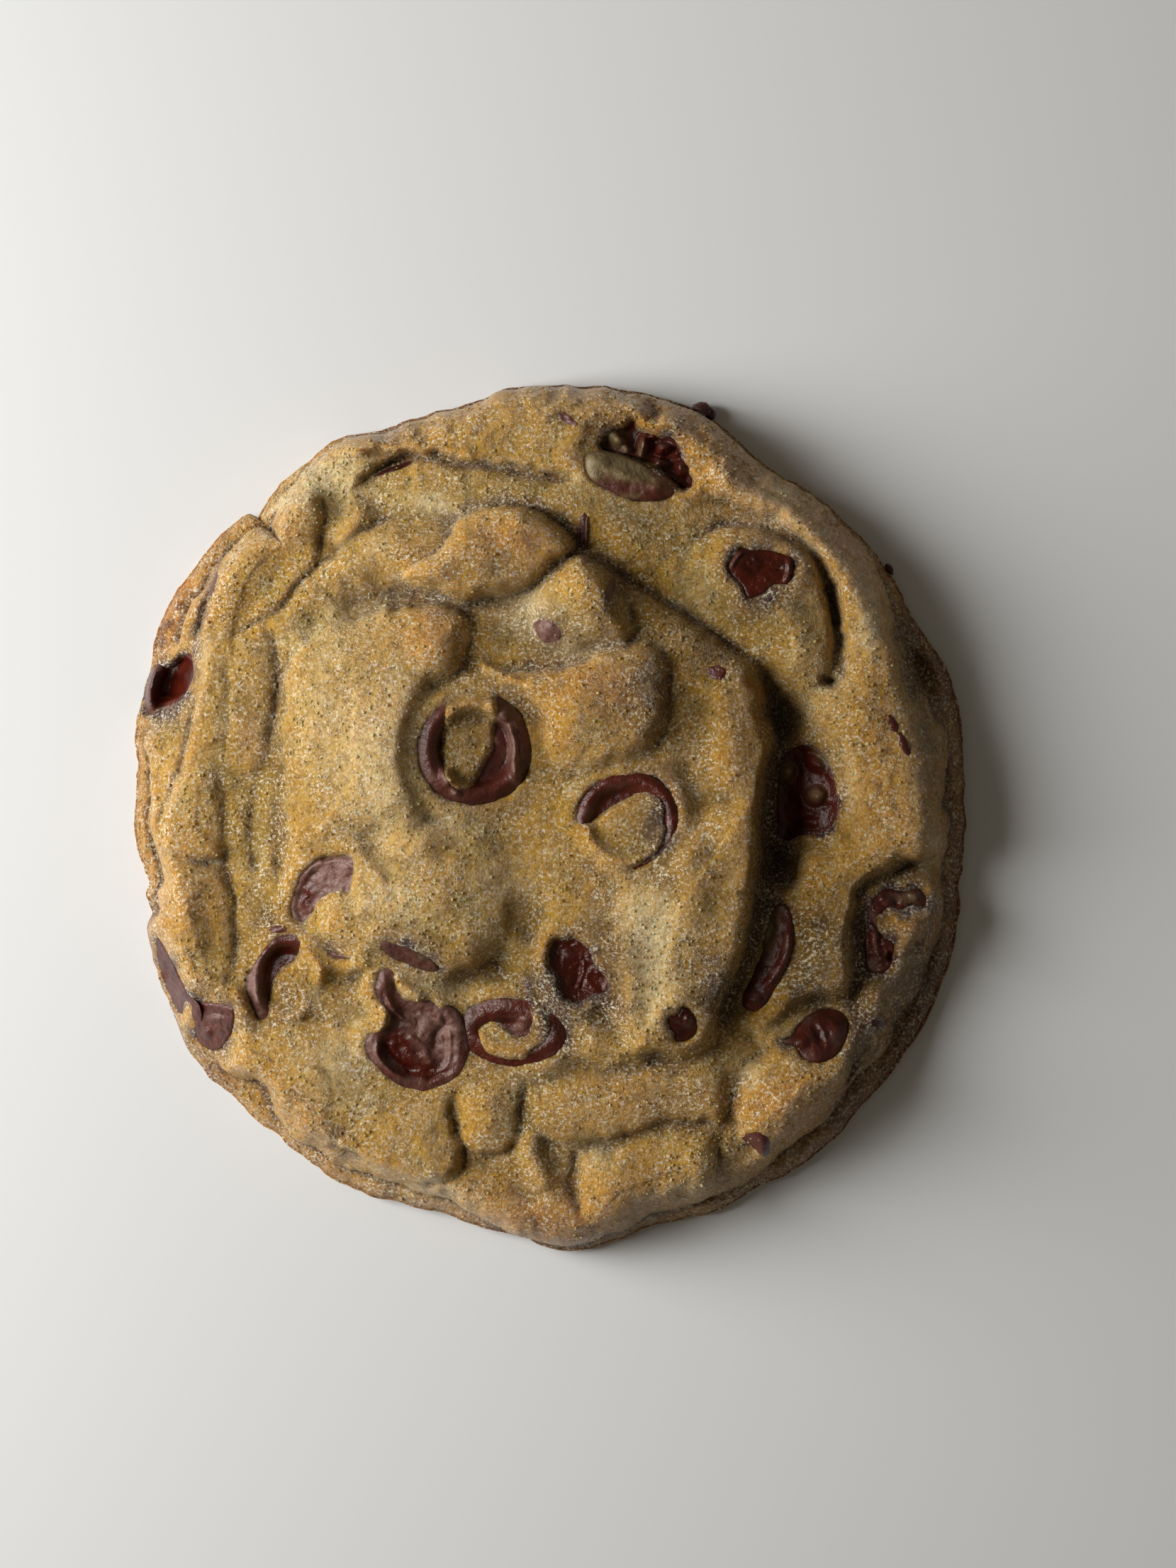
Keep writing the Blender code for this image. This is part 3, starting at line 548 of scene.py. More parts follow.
TINTS = {
    Tint.TOAST_AND_PAINTED_LIGHT: (
        Patch(-4.4, 31.6, 5.4, 3.4, 10, 1.0), Patch(-12.8, 20.6, 3.4, 3.0, 0, 1.0), Patch(-20, 12, 5, 6, 0, 0.35), Patch(3.6, 15.4, 6.5, 3.4, 0, 0.8),
        Patch(10.4, 12.6, 4, 4.4, 0, 0.6), Patch(0.5, 9, 4, 3, 0, 0.4), Patch(26, -32, 5.5, 3.6, 0, 0.8),
        Patch(40.8, -11.6, 2.4, 2.0, 0, 0.9), Patch(-33, 8.6, 1.8, 2.6, 0, 0.5), Patch(-40, -9, 3, 4, 0, 0.4), Patch(-42, 23.4, 1.6, 4, -20, 1.0),
        # the first patch on the next line lightens crust that slopes away from the light: painted light
        Patch(13, 46, 6, 2.2, -18, 0.7), Patch(26, 37, 8, 3, -40, 0.9),
        Patch(20, 6, 4, 8, 0, 0.25), Patch(17, -6, 4, 4, 0, 0.3), Patch(-7, -44, 7, 3, 0, 0.6),
        Patch(3, -46.5, 5, 3, 0, 0.9), Patch(36, 10, 5, 10, 0, 0.35), Patch(31, 33, 7, 4, -45, 0.5),
        Patch(20, 38.5, 8, 3, -10, 0.5), Patch(10, -42, 6, 3, 0, 0.3), Patch(-28, -33, 6, 3, -35, 0.4),
        Patch(8.5, -31.5, 7, 3, 0, 0.3), Patch(6.6, 24.6, 1.6, 1.2, 0, 0.7), Patch(-31, 32, 4, 3, 30, 0.3),
        Patch(38, -1, 4, 4, 0, 0.3), Patch(5, -6, 4, 3, 0, 0.25), Patch(-16, 29.6, 4, 2, 0, 0.25),
    ),
    Tint.COOL: (
        Patch(-8, 37.4, 13, 2.4, -3, 0.8), Patch(0, 21.4, 6, 3.6, 0, 0.9), Patch(-27, 20.5, 4, 4, -30, 0.6),
        Patch(-33, -1, 4, 8, 0, 0.6), Patch(-37, 12, 3, 7, 0, 0.4), Patch(24, 24.5, 7, 5, 0, 0.5),
        Patch(-6, -12, 4, 5, 0, 0.5), Patch(9.5, -3, 4, 3, 0, 0.4), Patch(-20, -27, 7, 5, 0, 0.3),
        Patch(-2, -33, 1.8, 5, 0, 0.7), Patch(10, 33.6, 5, 2.6, 0, 0.5), Patch(37, -22, 3, 6, 0, 0.6),
        Patch(25, -11, 2.6, 5, 0, 0.5), Patch(-1, -18.6, 3, 2, 0, 0.6), Patch(-42.6, 12, 2.6, 3, 0, 0.9),
        Patch(-32, -17, 3, 4, 0, 0.6), Patch(10, 39.5, 4, 1.4, -14, 1.0), Patch(38, -18, 2, 2, 0, 0.7),
    ),
    # whitish dry dough; over the lit plateau and some other lit spots it is painted light
    Tint.PALE_AND_PAINTED_LIGHT: (
        Patch(-1.6, 22.8, 3.4, 2.6, -20, 0.9), Patch(-17.5, 6, 5, 8.5, 0, 0.7), Patch(-22, 22.6, 5, 3, 20, 0.4), Patch(-11, -1, 4, 3, 0, 0.4), Patch(3.0, 19.0, 2.4, 1.2, 0, 0.6),
        Patch(-24.6, 38.2, 4.4, 3.4, 20, 0.9), Patch(-23, -28, 4, 5, -30, 0.5), Patch(12, -18, 3, 5, 0, 0.5),
        Patch(27, 36, 7, 3, -42, 0.6), Patch(31, 16, 3, 6, 0, 0.4), Patch(-12, -42.6, 5, 2, 0, 0.5), Patch(18, -42, 4, 2, 0, 0.4), Patch(-31, 36, 1.6, 1.0, 30, 1.0), Patch(-13, 35.6, 3.6, 1.3, -10, 0.8),
        Patch(-25, 12, 4, 8, 0, 0.35), Patch(11, -11, 4, 3, 0, 0.45), Patch(11.2, -14, 2.4, 5, 10, 0.8),
        Patch(36, 22, 1.3, 4, 0, 0.8), Patch(34, 4, 1.2, 4, 10, 0.5), Patch(5.4, -38, 2, 2, 0, 0.5),
        Patch(-17, -9, 5, 4, 0, 0.45), Patch(-5, -7, 4, 3, 0, 0.3), Patch(-13, -20, 4, 3, 0, 0.4), Patch(29.5, 30.3, 2.2, 1.2, -40, 0.5), Patch(17.5, 26, 2.5, 3, 0, 0.4),
        Patch(44, -3.5, 1.6, 1.6, 0, 0.6), Patch(22.6, -28.5, 1.4, 2, 0, 0.6), Patch(-19, 30, 2, 1.4, 0, 0.4),
        Patch(-38.5, 19, 1, 3, 0, 0.4), Patch(-40.5, 2, 2, 2, 0, 0.3),
    ),
    # burnt spots and crust brown, and on the right and lower rim, which face away from the light, partly painted shade
    Tint.BROWN_AND_PAINTED_SHADE: (
        Patch(-43.4, 22.2, 0.9, 0.5, 30, 1.6), Patch(-44.5, 20.3, 0.5, 1.1, -10, 1.8), Patch(-42.1, 24.6, 0.3, 0.5, 0, 1.4),
        Patch(-17, 43.2, 2.4, 1.2, 10, 0.6), Patch(15, 43.4, 2, 1.6, -30, 0.5), Patch(-38.6, 27, 1, 4, -12, 0.5),
        Patch(45.5, 14, 2, 6, 12, 0.6), Patch(42, -21, 3, 8, -22, 0.8), Patch(34, -34, 6, 3, 45, 0.7),
        Patch(24, -42, 7, 1.6, 22, 0.6), Patch(8, -47.4, 5, 1, 18, 0.5), Patch(-38, -29.5, 4, 2, -50, 0.4),
        Patch(46.6, -3, 1.4, 6, 0, 0.5), Patch(7, 44.6, 2, 1.6, 0, 0.7), Patch(-12, 22.5, 3, 1, -30, 0.35),
    ),
    # painted shade: darker golden-brown on slopes turned from the light and in crevices
    Tint.PAINTED_SHADE: (
        Patch(12.6, 0.4, 2.6, 4.4, 0, 1.2), Patch(12, -6.5, 3, 2.4, 0, 0.5), Patch(0.6, -21, 3.4, 5.5, 0, 1.3),
        Patch(6.4, -13, 2.8, 3.4, 0, 1.0), Patch(6.8, -20, 2.4, 3.6, 0, 1.1), Patch(30.6, -12.6, 3.4, 4, 0, 1.0),
        Patch(24.8, -4, 1.8, 9, 0, 1.1), Patch(-30.4, 3, 1.5, 9, 0, 0.5), Patch(-31, -12, 3, 2.6, 0, 0.5),
        Patch(-29.6, -20.5, 3.4, 4, 0, 0.5), Patch(12, 14, 3, 6, 0, 0.9), Patch(18, 18.6, 5, 1.8, -30, 0.8), Patch(18.4, -17.4, 3, 4, 0, 0.8), Patch(24.6, 27, 3.4, 3, 0, 0.5),
        Patch(20.4, 12, 3, 6, 0, 0.3), Patch(26.6, 12, 1.6, 4, 0, 0.6), Patch(24, 24, 4, 3, 0, 0.4),
        Patch(36.0, -23, 2.2, 6, 0, 1.1), Patch(37.4, -12, 2.4, 4.4, 0, 0.5), Patch(42.4, -18, 2.6, 7, -10, 0.9), Patch(43.5, 8, 2.4, 8, 0, 0.5),
        Patch(0.4, 20.6, 4.4, 3, 0, 0.35), Patch(-4.4, 27.2, 3, 1.4, 0, 0.4), Patch(41.8, 17.6, 1.6, 5, 8, 0.8),
        Patch(18.6, -20, 2.4, 4, -20, 0.4), Patch(29.5, -18.8, 3, 2.6, 0, 0.9), Patch(14, -31, 7, 3, 0, 0.35), Patch(0, -36.5, 2.4, 3, 0, 0.6), Patch(-5, -30.5, 3, 3, 0, 0.4), Patch(8, 26.4, 4, 1.4, -35, 0.5),
        Patch(-6.2, -14.6, 2.4, 3.6, 0, 0.3), Patch(-39.2, 23, 0.9, 4.4, -16, 0.8), Patch(34.2, -36, 6, 2.2, 45, 0.4),
    ),
    # chocolate film on the dough, and in the crevices and cracks painted shade
    Tint.COCOA_AND_PAINTED_SHADE: (
        Patch(26.2, -4, 1.1, 6.5, 0, 1.3), Patch(26.4, 9.5, 0.9, 3, 10, 1.0), Patch(36.0, -12.8, 0.8, 4.6, 0, 1.2),
        Patch(39, -9.4, 3.8, 1.4, -10, 0.7), Patch(-8.6, 8.6, 2.0, 4.6, 0, 0.35), Patch(24.0, -9.8, 1.4, 2.4, 0, 0.7),
        Patch(0.6, -18.4, 2.6, 2.2, 0, 0.9), Patch(1.6, -23, 1.5, 2.6, 0, 0.8), Patch(26.6, 31.6, 3.4, 1.1, -14, 0.8),
        Patch(25, 25.2, 2.4, 1.2, 0, 0.6), Patch(12.9, -1, 1.0, 4, 0, 0.35), Patch(-3.6, 12.2, 1.2, 3.2, 20, 0.5),
        Patch(-24, -35.2, 1.4, 1.2, 0, 0.8), Patch(0.6, 21.2, 2.2, 2.4, 0, 0.75), Patch(7.6, 24.4, 1.1, 3.6, -18, 0.9),
        Patch(4.6, 29.4, 2.2, 0.8, -15, 0.8), Patch(-14.5, -14.8, 4.2, 1.3, -30, 0.7), Patch(24.6, 24.2, 2.4, 1.4, 0, 0.5),
        Patch(37, -23.2, 1.3, 0.8, 0, 0.9), Patch(-42.4, 13, 2.2, 2.4, 20, 0.7), Patch(-45, 12, 0.9, 2.6, 0, 0.6),
        Patch(38.4, -17.8, 1.6, 1.4, 0, 0.4), Patch(-33.6, -15.5, 1.6, 1.2, 0, 0.35), Patch(-30.2, -11.8, 1.6, 0.8, 0, 0.7),
        Patch(-4.8, 24, 2, 1, 0, 0.3), Patch(2.2, 45.2, 1.1, 0.7, -40, 0.9), Patch(31.7, 15.3, 0.7, 0.3, 0, 1.0),
        Patch(32.2, 25.6, 0.35, 1.2, 20, 1.0), Patch(26.5, -24.8, 1.6, 0.7, 20, 0.7), Patch(41.5, -8.8, 2.6, 1.2, -15, 0.7),
    ),
}


# ------------------------------------------------------------------ the chips' features
def disc(x: float, y: float, half_x: float, half_y: float, turn: float = 0.0) -> tuple[Point, ...]:
    """Points round an oval, for a chip that kept its round base.

    Args:
        x: Its middle.
        y: Its middle.
        half_x: Half its length.
        half_y: Half its width.
        turn: Its turn in degrees.

    Returns:
        Twelve points, anticlockwise.
    """
    c, s = math.cos(math.radians(turn)), math.sin(math.radians(turn))
    around = [(half_x * math.cos(a), half_y * math.sin(a)) for a in np.linspace(0, 2 * math.pi, 13)[:-1]]
    return tuple((x + u * c - v * s, y + u * s + v * c) for u, v in around)


@dataclass(frozen=True)
class Chip:
    """One chip: its outline, the part that dough leaves bare, and the shape of its top.

    Covers are pads of dough that lie on it. The rim is the raised ring that a chip's base keeps, the dish
    the hollow inside it, and the rise how far a melted chip's middle bulges.
    """

    node: str
    outline: tuple[Point, ...]
    bare: tuple[Point, ...] = ()
    covers: tuple[tuple[Point, ...], ...] = ()
    rise: float = 0.0
    rim: float = 0.0
    rim_width: float = 0.5
    dish: float = 0.0
    step: float = 1.4
    edge: float = 0.5
    lip: float = 0.35
    cover_lip: float = 1.0
    film: float = 0.6
    crumble: float = 0.04
    tilt: float = 1.0
    features: tuple = ()
    # pinkish grey over the chip and in patches: cocoa-butter bloom, and on faces turned to the light painted highlight;
    # patches below zero take it off faces in shade
    bloom_and_highlight: float = 0.08
    bloom_and_highlight_patches: tuple[Patch, ...] = ()
    coats: tuple[Patch, ...] = ()

    def depth(self, x: Array, y: Array) -> Array:
        """How far inside the chip's own outline each place lies, below zero outside."""
        curve = smooth_curve(self.outline, closed=True)
        distance, _, _ = measure_to(x, y, curve, 9.0, closed=True)
        return np.where(is_inside(x, y, curve), distance, -distance)

    def outside(self, x: Array, y: Array) -> Array:
        """How far each place lies from the bare part, below zero on it."""
        off = self._beyond(self.bare or self.outline, x, y)
        for cover in self.covers:
            off = np.maximum(off, -self._beyond(cover, x, y))
        return off + 0.2 * rough(x, y, 1.3, 61, 3)

    @staticmethod
    def _beyond(points: Sequence[Point], x: Array, y: Array) -> Array:
        """Distance outside a closed curve, below zero inside."""
        curve = smooth_curve(points, closed=True, step=0.4)
        distance, _, _ = measure_to(x, y, curve, 6.0, closed=True)
        return np.where(is_inside(x, y, curve), -distance, distance)

    def top(self, x: Array, y: Array, depth: Array) -> Array:
        """Height of the chip's top over its seat.

        Args:
            x: Places along X.
            y: Places along Y.
            depth: How far inside the outline they are.

        Returns:
            Heights in millimetres.
        """
        inner = np.clip(depth, 0, None)
        height = self.rim * np.exp(-((inner - 1.6 * self.rim_width) / self.rim_width) ** 2)
        height = height - self.dish * smooth_step((inner - 2.4 * self.rim_width) / self.step)
        height = height + self.rise * quarter_round(inner / (2.2 + 0.6 * self.rise))
        height = height - self.edge * (1 - quarter_round(inner / self.edge))
        for feature in self.features:
            height = feature.raise_on(x, y, height)
        height = height + 0.12 * rough(x, y, 2.6, 71, 2) * smooth_step(inner)
        return height + self.crumble * rough(x, y, 0.9, 73, 2) * smooth_step(inner / 0.8)


@dataclass
class Seat:
    """The plane a chip lies in, fitted to the dough round it."""

    level: float
    slope_x: float
    slope_y: float
    x: float
    y: float

    def plane(self, x: Array, y: Array) -> Array:
        """Height of the plane."""
        return self.level + self.slope_x * (x - self.x) + self.slope_y * (y - self.y)


RING_COVER = ((-10.6, 14.2), (-11.2, 11.4), (-11.4, 9), (-11.7, 7.4), (-11.2, 6), (-11.2, 4.8), (-10, 3.6),
              (-8.6, 3.4), (-7.7, 4.4), (-6.9, 6.2), (-5.9, 8.4), (-5.6, 11), (-5.4, 12.8), (-6, 15), (-8, 15.4))

CHIPS = (
    Chip("chip_ring_northwest", disc(-7.9, 7.9, 6.5, 6.5),
         bare=((-14.2, 6), (-14.2, 8.5), (-13.5, 10.5), (-12.3, 12.2), (-10.3, 13.6), (-8.3, 14.1), (-6.3, 14.1),
               (-4.6, 13.4), (-3.0, 12.2), (-2.2, 10.6), (-1.7, 8.8), (-1.6, 6.8), (-2.0, 4.9), (-3.2, 3.3),
               (-5, 2.2), (-7.4, 1.5), (-9.6, 1.6), (-11.6, 2.4), (-13.1, 3.8)),
         covers=(RING_COVER, disc(-9.0, 4.5, 0.95, 0.8, 20)),
         rim=0.6, rim_width=0.8, dish=1.5, step=0.9, lip=0.3, cover_lip=0.9, film=0.6, bloom_and_highlight=0.16,
         features=(Stroke(Form.RIDGE, ((-4.4, 10.8), (-3.7, 8.6), (-3.6, 6.4), (-3.2, 4.4)), 1.1, 0.55),
                   Stroke(Form.RIDGE, ((-11.0, 5.9), (-11.1, 4.9), (-10.4, 3.9)), 1.3, 0.7),
                   Mound(-4.9, 11.6, 1.5, 1.3, 30, 1.0), Mound(-6.0, 12.4, 0.9, 1.4, 0, 1.1),
                   Mound(-10.0, 2.9, 0.8, 0.7, 0, 0.7), Mound(-5.2, 8.8, 1.2, 1.3, 0, 0.4)),
         bloom_and_highlight_patches=(Patch(-13.9, 6.6, 0.5, 2.6, 0, 0.8), Patch(-12.9, 4.4, 1.2, 0.5, -55, 0.8), Patch(-3.7, 8, 0.7, 3.2, 8, 1.0),
                 Patch(-11.0, 4.9, 0.8, 1.0, 0, 1.0), Patch(-5, 11.5, 1, 0.8, 0, 0.9), Patch(-6, 12.6, 0.7, 1.2, 0, 1.0),
                 Patch(-10, 2.9, 0.8, 0.5, 0, 0.7), Patch(-12.4, 11.6, 0.4, 1.4, -40, 0.4)),
         coats=(Patch(-9.2, 13.6, 1.6, 0.6, 25, 0.8), Patch(-10.6, 12, 0.5, 0.5, 0, 0.7), Patch(-2.6, 12.4, 1.2, 1.2, 0, 0.5))),
    Chip("chip_crescent_east", disc(9.1, -0.4, 6.0, 5.9),
         bare=((3.3, 0.3), (3.8, 2), (5.2, 3.7), (7, 4.8), (9, 5.1), (11.4, 5.2), (13, 4.3), (14.2, 2.6),
               (14.7, 0.8), (14.5, -1), (13.8, -2.5), (12.5, -4), (11, -5.2), (9.4, -5.9), (9.8, -5.3),
               (10.8, -4.7), (12, -3.9), (12.9, -2.9), (13.2, -1.6), (13.2, -0.3), (13.2, 1.1), (12.6, 2.2),
               (11.4, 2.9), (10, 2.9), (8.8, 2.2), (7.4, 1.5), (6, 0.3), (5.1, -0.4), (3.9, -0.5)),
         rim=0.35, rim_width=0.6, dish=1.0, step=1.2, lip=0.45, cover_lip=1.2, film=0.9, bloom_and_highlight=0.04,
         bloom_and_highlight_patches=(Patch(4.2, 0.9, 0.8, 0.8, 0, 0.5), Patch(7.6, 3.6, 1.6, 0.5, 15, 0.3), Patch(12.6, -3.4, 0.5, 1.4, -30, 0.2))),
    Chip("chip_half_moon_west", disc(-22.9, -9.9, 6.1, 6.1),
         bare=((-21.4, -4.7), (-21.9, -4.0), (-24, -4.1), (-25.6, -4.5), (-27, -5.7), (-28.2, -7.9),
               (-28.8, -10), (-28.6, -11.5), (-28, -12.8), (-27, -13.8), (-25.5, -14.9), (-24, -15.6),
               (-22.3, -15.8), (-22.2, -15.4), (-23.8, -14.8), (-25.1, -14.2), (-26.2, -13.2), (-26.7, -12),
               (-26.6, -10.9), (-26, -9.9), (-24.6, -8.5), (-23, -8.1), (-22, -8.3), (-21.7, -7)),
         rim=0.14, rim_width=0.35, dish=0.16, step=0.4, lip=0.7, cover_lip=0.8, film=0.15, crumble=0.22,
         bloom_and_highlight=0.7,
         features=(Stroke(Form.CREASE, ((-25.4, -4.6), (-23.6, -4.2), (-21.4, -4.3)), 0.9, 0.35),),
         bloom_and_highlight_patches=(Patch(-24, -6, 2.4, 1.8, 30, 0.9), Patch(-28.2, -10, 0.5, 2.6, 6, 0.6), Patch(-26.9, -12.6, 1.0, 1.4, 40, 0.8),
                 Patch(-25.4, -9.2, 1.4, 0.4, 42, 0.5), Patch(-26.8, -8.4, 0.8, 2.2, -14, -0.9))),
    Chip("chip_wrinkled_south",
         ((-9.6, -21.9), (-8.8, -24), (-8.5, -26), (-8.9, -28.2), (-10.2, -29.8), (-12, -30.6), (-14, -31.1),
          (-16.2, -30.6), (-18.3, -29.5), (-20.2, -27.3), (-20.8, -25.3), (-20.2, -23.6), (-19.4, -21.6),
          (-19.8, -18.6), (-18.8, -16.2), (-16.8, -15.9), (-15.2, -17.2), (-13, -18.8), (-11, -20.6)),
         bare=((-10, -22), (-9.4, -24), (-9.1, -26), (-9.4, -28), (-10.5, -29.4), (-12, -30.1), (-14, -30.6),
               (-16, -30.1), (-18, -29), (-19.8, -27), (-20.3, -25.3), (-19.8, -24.2), (-18.8, -23.9),
               (-17.8, -23.1), (-17.6, -22), (-18.2, -21), (-18.9, -20), (-19.1, -18.8), (-18.5, -17),
               (-17.8, -16.5), (-17.1, -17), (-16.9, -18.8), (-15.9, -20.2), (-14, -20.5), (-13, -20.3),
               (-12, -21.3), (-10.5, -21.8)),
         rim=0.35, rim_width=0.8, dish=0.35, step=0.8, lip=0.3, cover_lip=1.0, film=0.4, crumble=0.16,
         bloom_and_highlight=0.38,
         features=(Stroke(Form.CREASE, ((-11.6, -22), (-11.3, -23.1), (-12.3, -24), (-12.7, -26)), 0.7, 0.3),
                   Stroke(Form.RIDGE, ((-18, -19.6), (-17.4, -20.9), (-16.6, -22), (-15.9, -22.6)), 0.5, 0.3),
                   Stroke(Form.RIDGE, ((-18.8, -24.6), (-18.9, -26.4), (-17.4, -28.4), (-15, -29.5)), 0.5, 0.4),
                   Stroke(Form.HOLLOW, ((-18.0, -24.8), (-18.1, -26.2), (-16.8, -27.8), (-14.8, -28.6)), 0.6, 0.6),
                   Stroke(Form.CREASE, ((-14.6, -22.2), (-14.3, -23.4), (-14.6, -24.6)), 0.25, 0.25),
                   Stroke(Form.RIDGE, ((-15.8, -24.2), (-14.0, -25.6), (-12.6, -28)), 0.3, 0.5),
                   Stroke(Form.RIDGE, ((-10.9, -24), (-10.9, -26.4), (-11.4, -28.2)), 0.35, 0.4),
                   Mound(-17.9, -18.4, 0.9, 1.5, 20, 0.5), Mound(-17, -21, 0.7, 1.4, 40, 0.5),
                   Stroke(Form.CREASE, ((-10.6, -28.2), (-12.2, -28.8), (-13.6, -29.6)), 0.4, 0.3),
                   Mound(-13, -23.6, 3.0, 2.4, 20, 0.35)),
         bloom_and_highlight_patches=(Patch(-13.2, -23.2, 3.4, 2.2, 0, 0.7), Patch(-11.2, -26, 1.2, 2.6, 0, 0.5), Patch(-17.4, -27.6, 1.6, 0.6, -38, 0.9),
                 Patch(-19.5, -25.6, 0.8, 1.4, 0, 0.7), Patch(-17.6, -18.6, 0.9, 1.3, 0, 0.3), Patch(-16.6, -26, 1.6, 2.4, 0, -0.9),
                 Patch(-13.6, -28.4, 2.2, 0.9, 0, -0.8), Patch(-15.2, -29.4, 1, 0.4, 0, 0.8))),
    Chip("chip_ring_south", disc(-3.9, -23.9, 6.4, 4.1, -4),
         bare=disc(-3.9, -23.9, 6.05, 3.8, -4),
         covers=(((-7.6, -23.6), (-6.6, -22.9), (-5.2, -22.9), (-4.2, -23.8), (-3.2, -24.6), (-2.0, -24.2),
                  (-1.6, -22.6), (-1.9, -21.2), (-1.2, -20.2), (0.2, -21.4), (0.4, -23.4), (-0.4, -25.0),
                  (-1.8, -26), (-2.6, -26.9), (-4.2, -27), (-6.0, -26.6), (-7.2, -25.4)),),
         rim=0.45, rim_width=1.0, dish=0.7, step=0.8, lip=0.2, cover_lip=0.7, film=0.9, bloom_and_highlight=0.06,
         features=(Mound(-2.6, -23, 1.2, 1.0, 30, 0.5),),
         bloom_and_highlight_patches=(Patch(-9.2, -22.6, 0.9, 1.6, -30, 0.6), Patch(-6.4, -20.8, 2.4, 0.4, 5, 0.5), Patch(-2.8, -23.2, 1.0, 0.8, 0, 0.8),
                 Patch(0.6, -26.6, 1, 0.5, 30, 0.3))),
    Chip("chip_crescent_west", disc(-29.0, -18.2, 5.4, 5.7),
         bare=((-30.6, -13.6), (-32, -15.1), (-33.2, -16.8), (-34, -19), (-33.9, -20.6), (-33.2, -22),
               (-32.4, -22.8), (-31.3, -22), (-31.1, -20.7), (-31, -19.6), (-30.7, -18.2), (-29.8, -16.9),
               (-28.3, -15.8), (-27.7, -14.6), (-27.6, -13.5), (-28.2, -12.9), (-29.5, -12.9)),
         rim=0.0, dish=1.6, step=1.6, lip=0.3, cover_lip=1.2, film=0.3, bloom_and_highlight=0.2,
         features=(Stroke(Form.RIDGE, ((-30.6, -14.2), (-31.9, -16), (-32.3, -18), (-32.3, -20), (-32.2, -21.8)), 1.0, 0.9),),
         bloom_and_highlight_patches=(Patch(-33.1, -18.4, 0.9, 3.0, -4, 1.0), Patch(-32.4, -21.6, 0.8, 1.2, 0, 0.6), Patch(-30.4, -16.4, 1, 2.4, -40, -0.5))),
    Chip("chip_dark_middle",
         ((0.3, -14.8), (0.9, -13.4), (2.2, -13.5), (3.4, -13.3), (4.8, -14.6), (5.6, -16.3), (6.9, -17.8),
          (6.8, -19.4), (5.2, -19.6), (3.6, -20.6), (1.9, -19.7), (1.2, -17.6), (0.4, -16.6)),
         rise=-0.9, dish=0.2, lip=0.7, film=1.4, bloom_and_highlight=0.0, crumble=0.25, tilt=-0.3,
         features=(Stroke(Form.RIDGE, ((4.2, -16), (4.0, -17.6), (3.4, -19.2)), 0.25, 0.3),
                   Mound(2.4, -15.4, 1.2, 1.2, 0, 0.3), Mound(5.2, -17.8, 1.4, 1.4, 0, 0.3)),
         bloom_and_highlight_patches=(Patch(2.4, -15.2, 0.5, 0.4, 0, 0.3),)),
    Chip("chip_square_northeast",
         ((20.3, 28.4), (21, 29.6), (21.8, 30.6), (23, 30.3), (25, 30.3), (27.6, 29.5), (28, 28.6),
          (27.8, 27.2), (27, 26.2), (25.6, 26.3), (24.6, 25.3), (22.6, 24.6), (22, 25.9), (20.8, 27.2)),
         rise=0.1, dish=0.5, step=1.2, lip=0.5, film=1.2, bloom_and_highlight=0.0, crumble=0.1,
         features=(Stroke(Form.RIDGE, ((20.6, 28.2), (21.4, 29.4), (22, 30)), 0.5, 0.4),
                   Stroke(Form.RIDGE, ((27.3, 29), (27.2, 27.6), (26.8, 26.6)), 0.4, 0.35)),
         bloom_and_highlight_patches=(Patch(21, 28.9, 0.5, 1.0, -40, 0.6), Patch(25.4, 26, 0.5, 0.4, 0, 0.6), Patch(27, 27.8, 0.3, 1.0, 0, 0.3))),
    Chip("chip_coated_north",
         ((4.2, 40), (4.8, 38.2), (6.6, 37.0), (8.6, 36.0), (11, 35.6), (13.5, 35.8), (15, 36.4), (15.1, 37.4),
          (13.6, 38.8), (10.8, 40.2), (8.2, 41.1), (6, 41.5), (4.6, 41.1)),
         rise=1.3, lip=0.35, film=0.5, bloom_and_highlight=0.12, crumble=0.12,
         features=(Mound(9, 38.6, 2.4, 0.9, -14, 0.3), Mound(5.8, 40.2, 1.8, 1.2, 0, 0.35), Mound(12.6, 37.4, 1.4, 1.2, 0, 0.2)),
         bloom_and_highlight_patches=(Patch(7, 37.2, 2, 0.5, -24, 0.2), Patch(10.4, 37.2, 1.6, 0.4, 0, 0.4)),
         coats=(Patch(6.6, 40.2, 3.0, 1.3, -10, 1.4), Patch(10.2, 39.2, 3.0, 0.9, -26, 1.1), Patch(9, 38.4, 1.6, 0.5, -8, 0.8),
                Patch(5.2, 39, 1.0, 1.2, 0, 0.8), Patch(9.4, 36.3, 1.6, 0.4, 5, 0.5))),
    Chip("chip_melted_north",
         ((6.2, 42.4), (7.2, 43.8), (8.6, 44.2), (10, 44.9), (11.4, 43.9), (13, 43.4), (14.4, 42.6), (15.6, 40.6),
          (16.5, 38.6), (16.6, 37.4), (15.2, 37.6), (14, 38.9), (12.4, 39.9), (10.6, 40.7), (8.6, 41.2), (7, 41.6)),
         bare=((5.9, 42.0), (6.6, 42.9), (7.6, 43.9), (8.6, 44.2), (9.6, 45.1), (10.1, 44.9), (10.4, 43.9), (11.8, 43.6),
               (12.6, 43.0), (13.8, 43.4), (15.0, 42.2), (15.4, 40.6), (16.2, 39.4), (16.6, 37.9), (15.6, 36.9),
               (14.6, 37.6), (13.2, 39.0), (11.0, 40.0), (8.4, 41.0), (6.8, 41.4)),
         rise=-1.8, lip=0.7, film=1.6, bloom_and_highlight=0.05, edge=0.4, crumble=0.3,
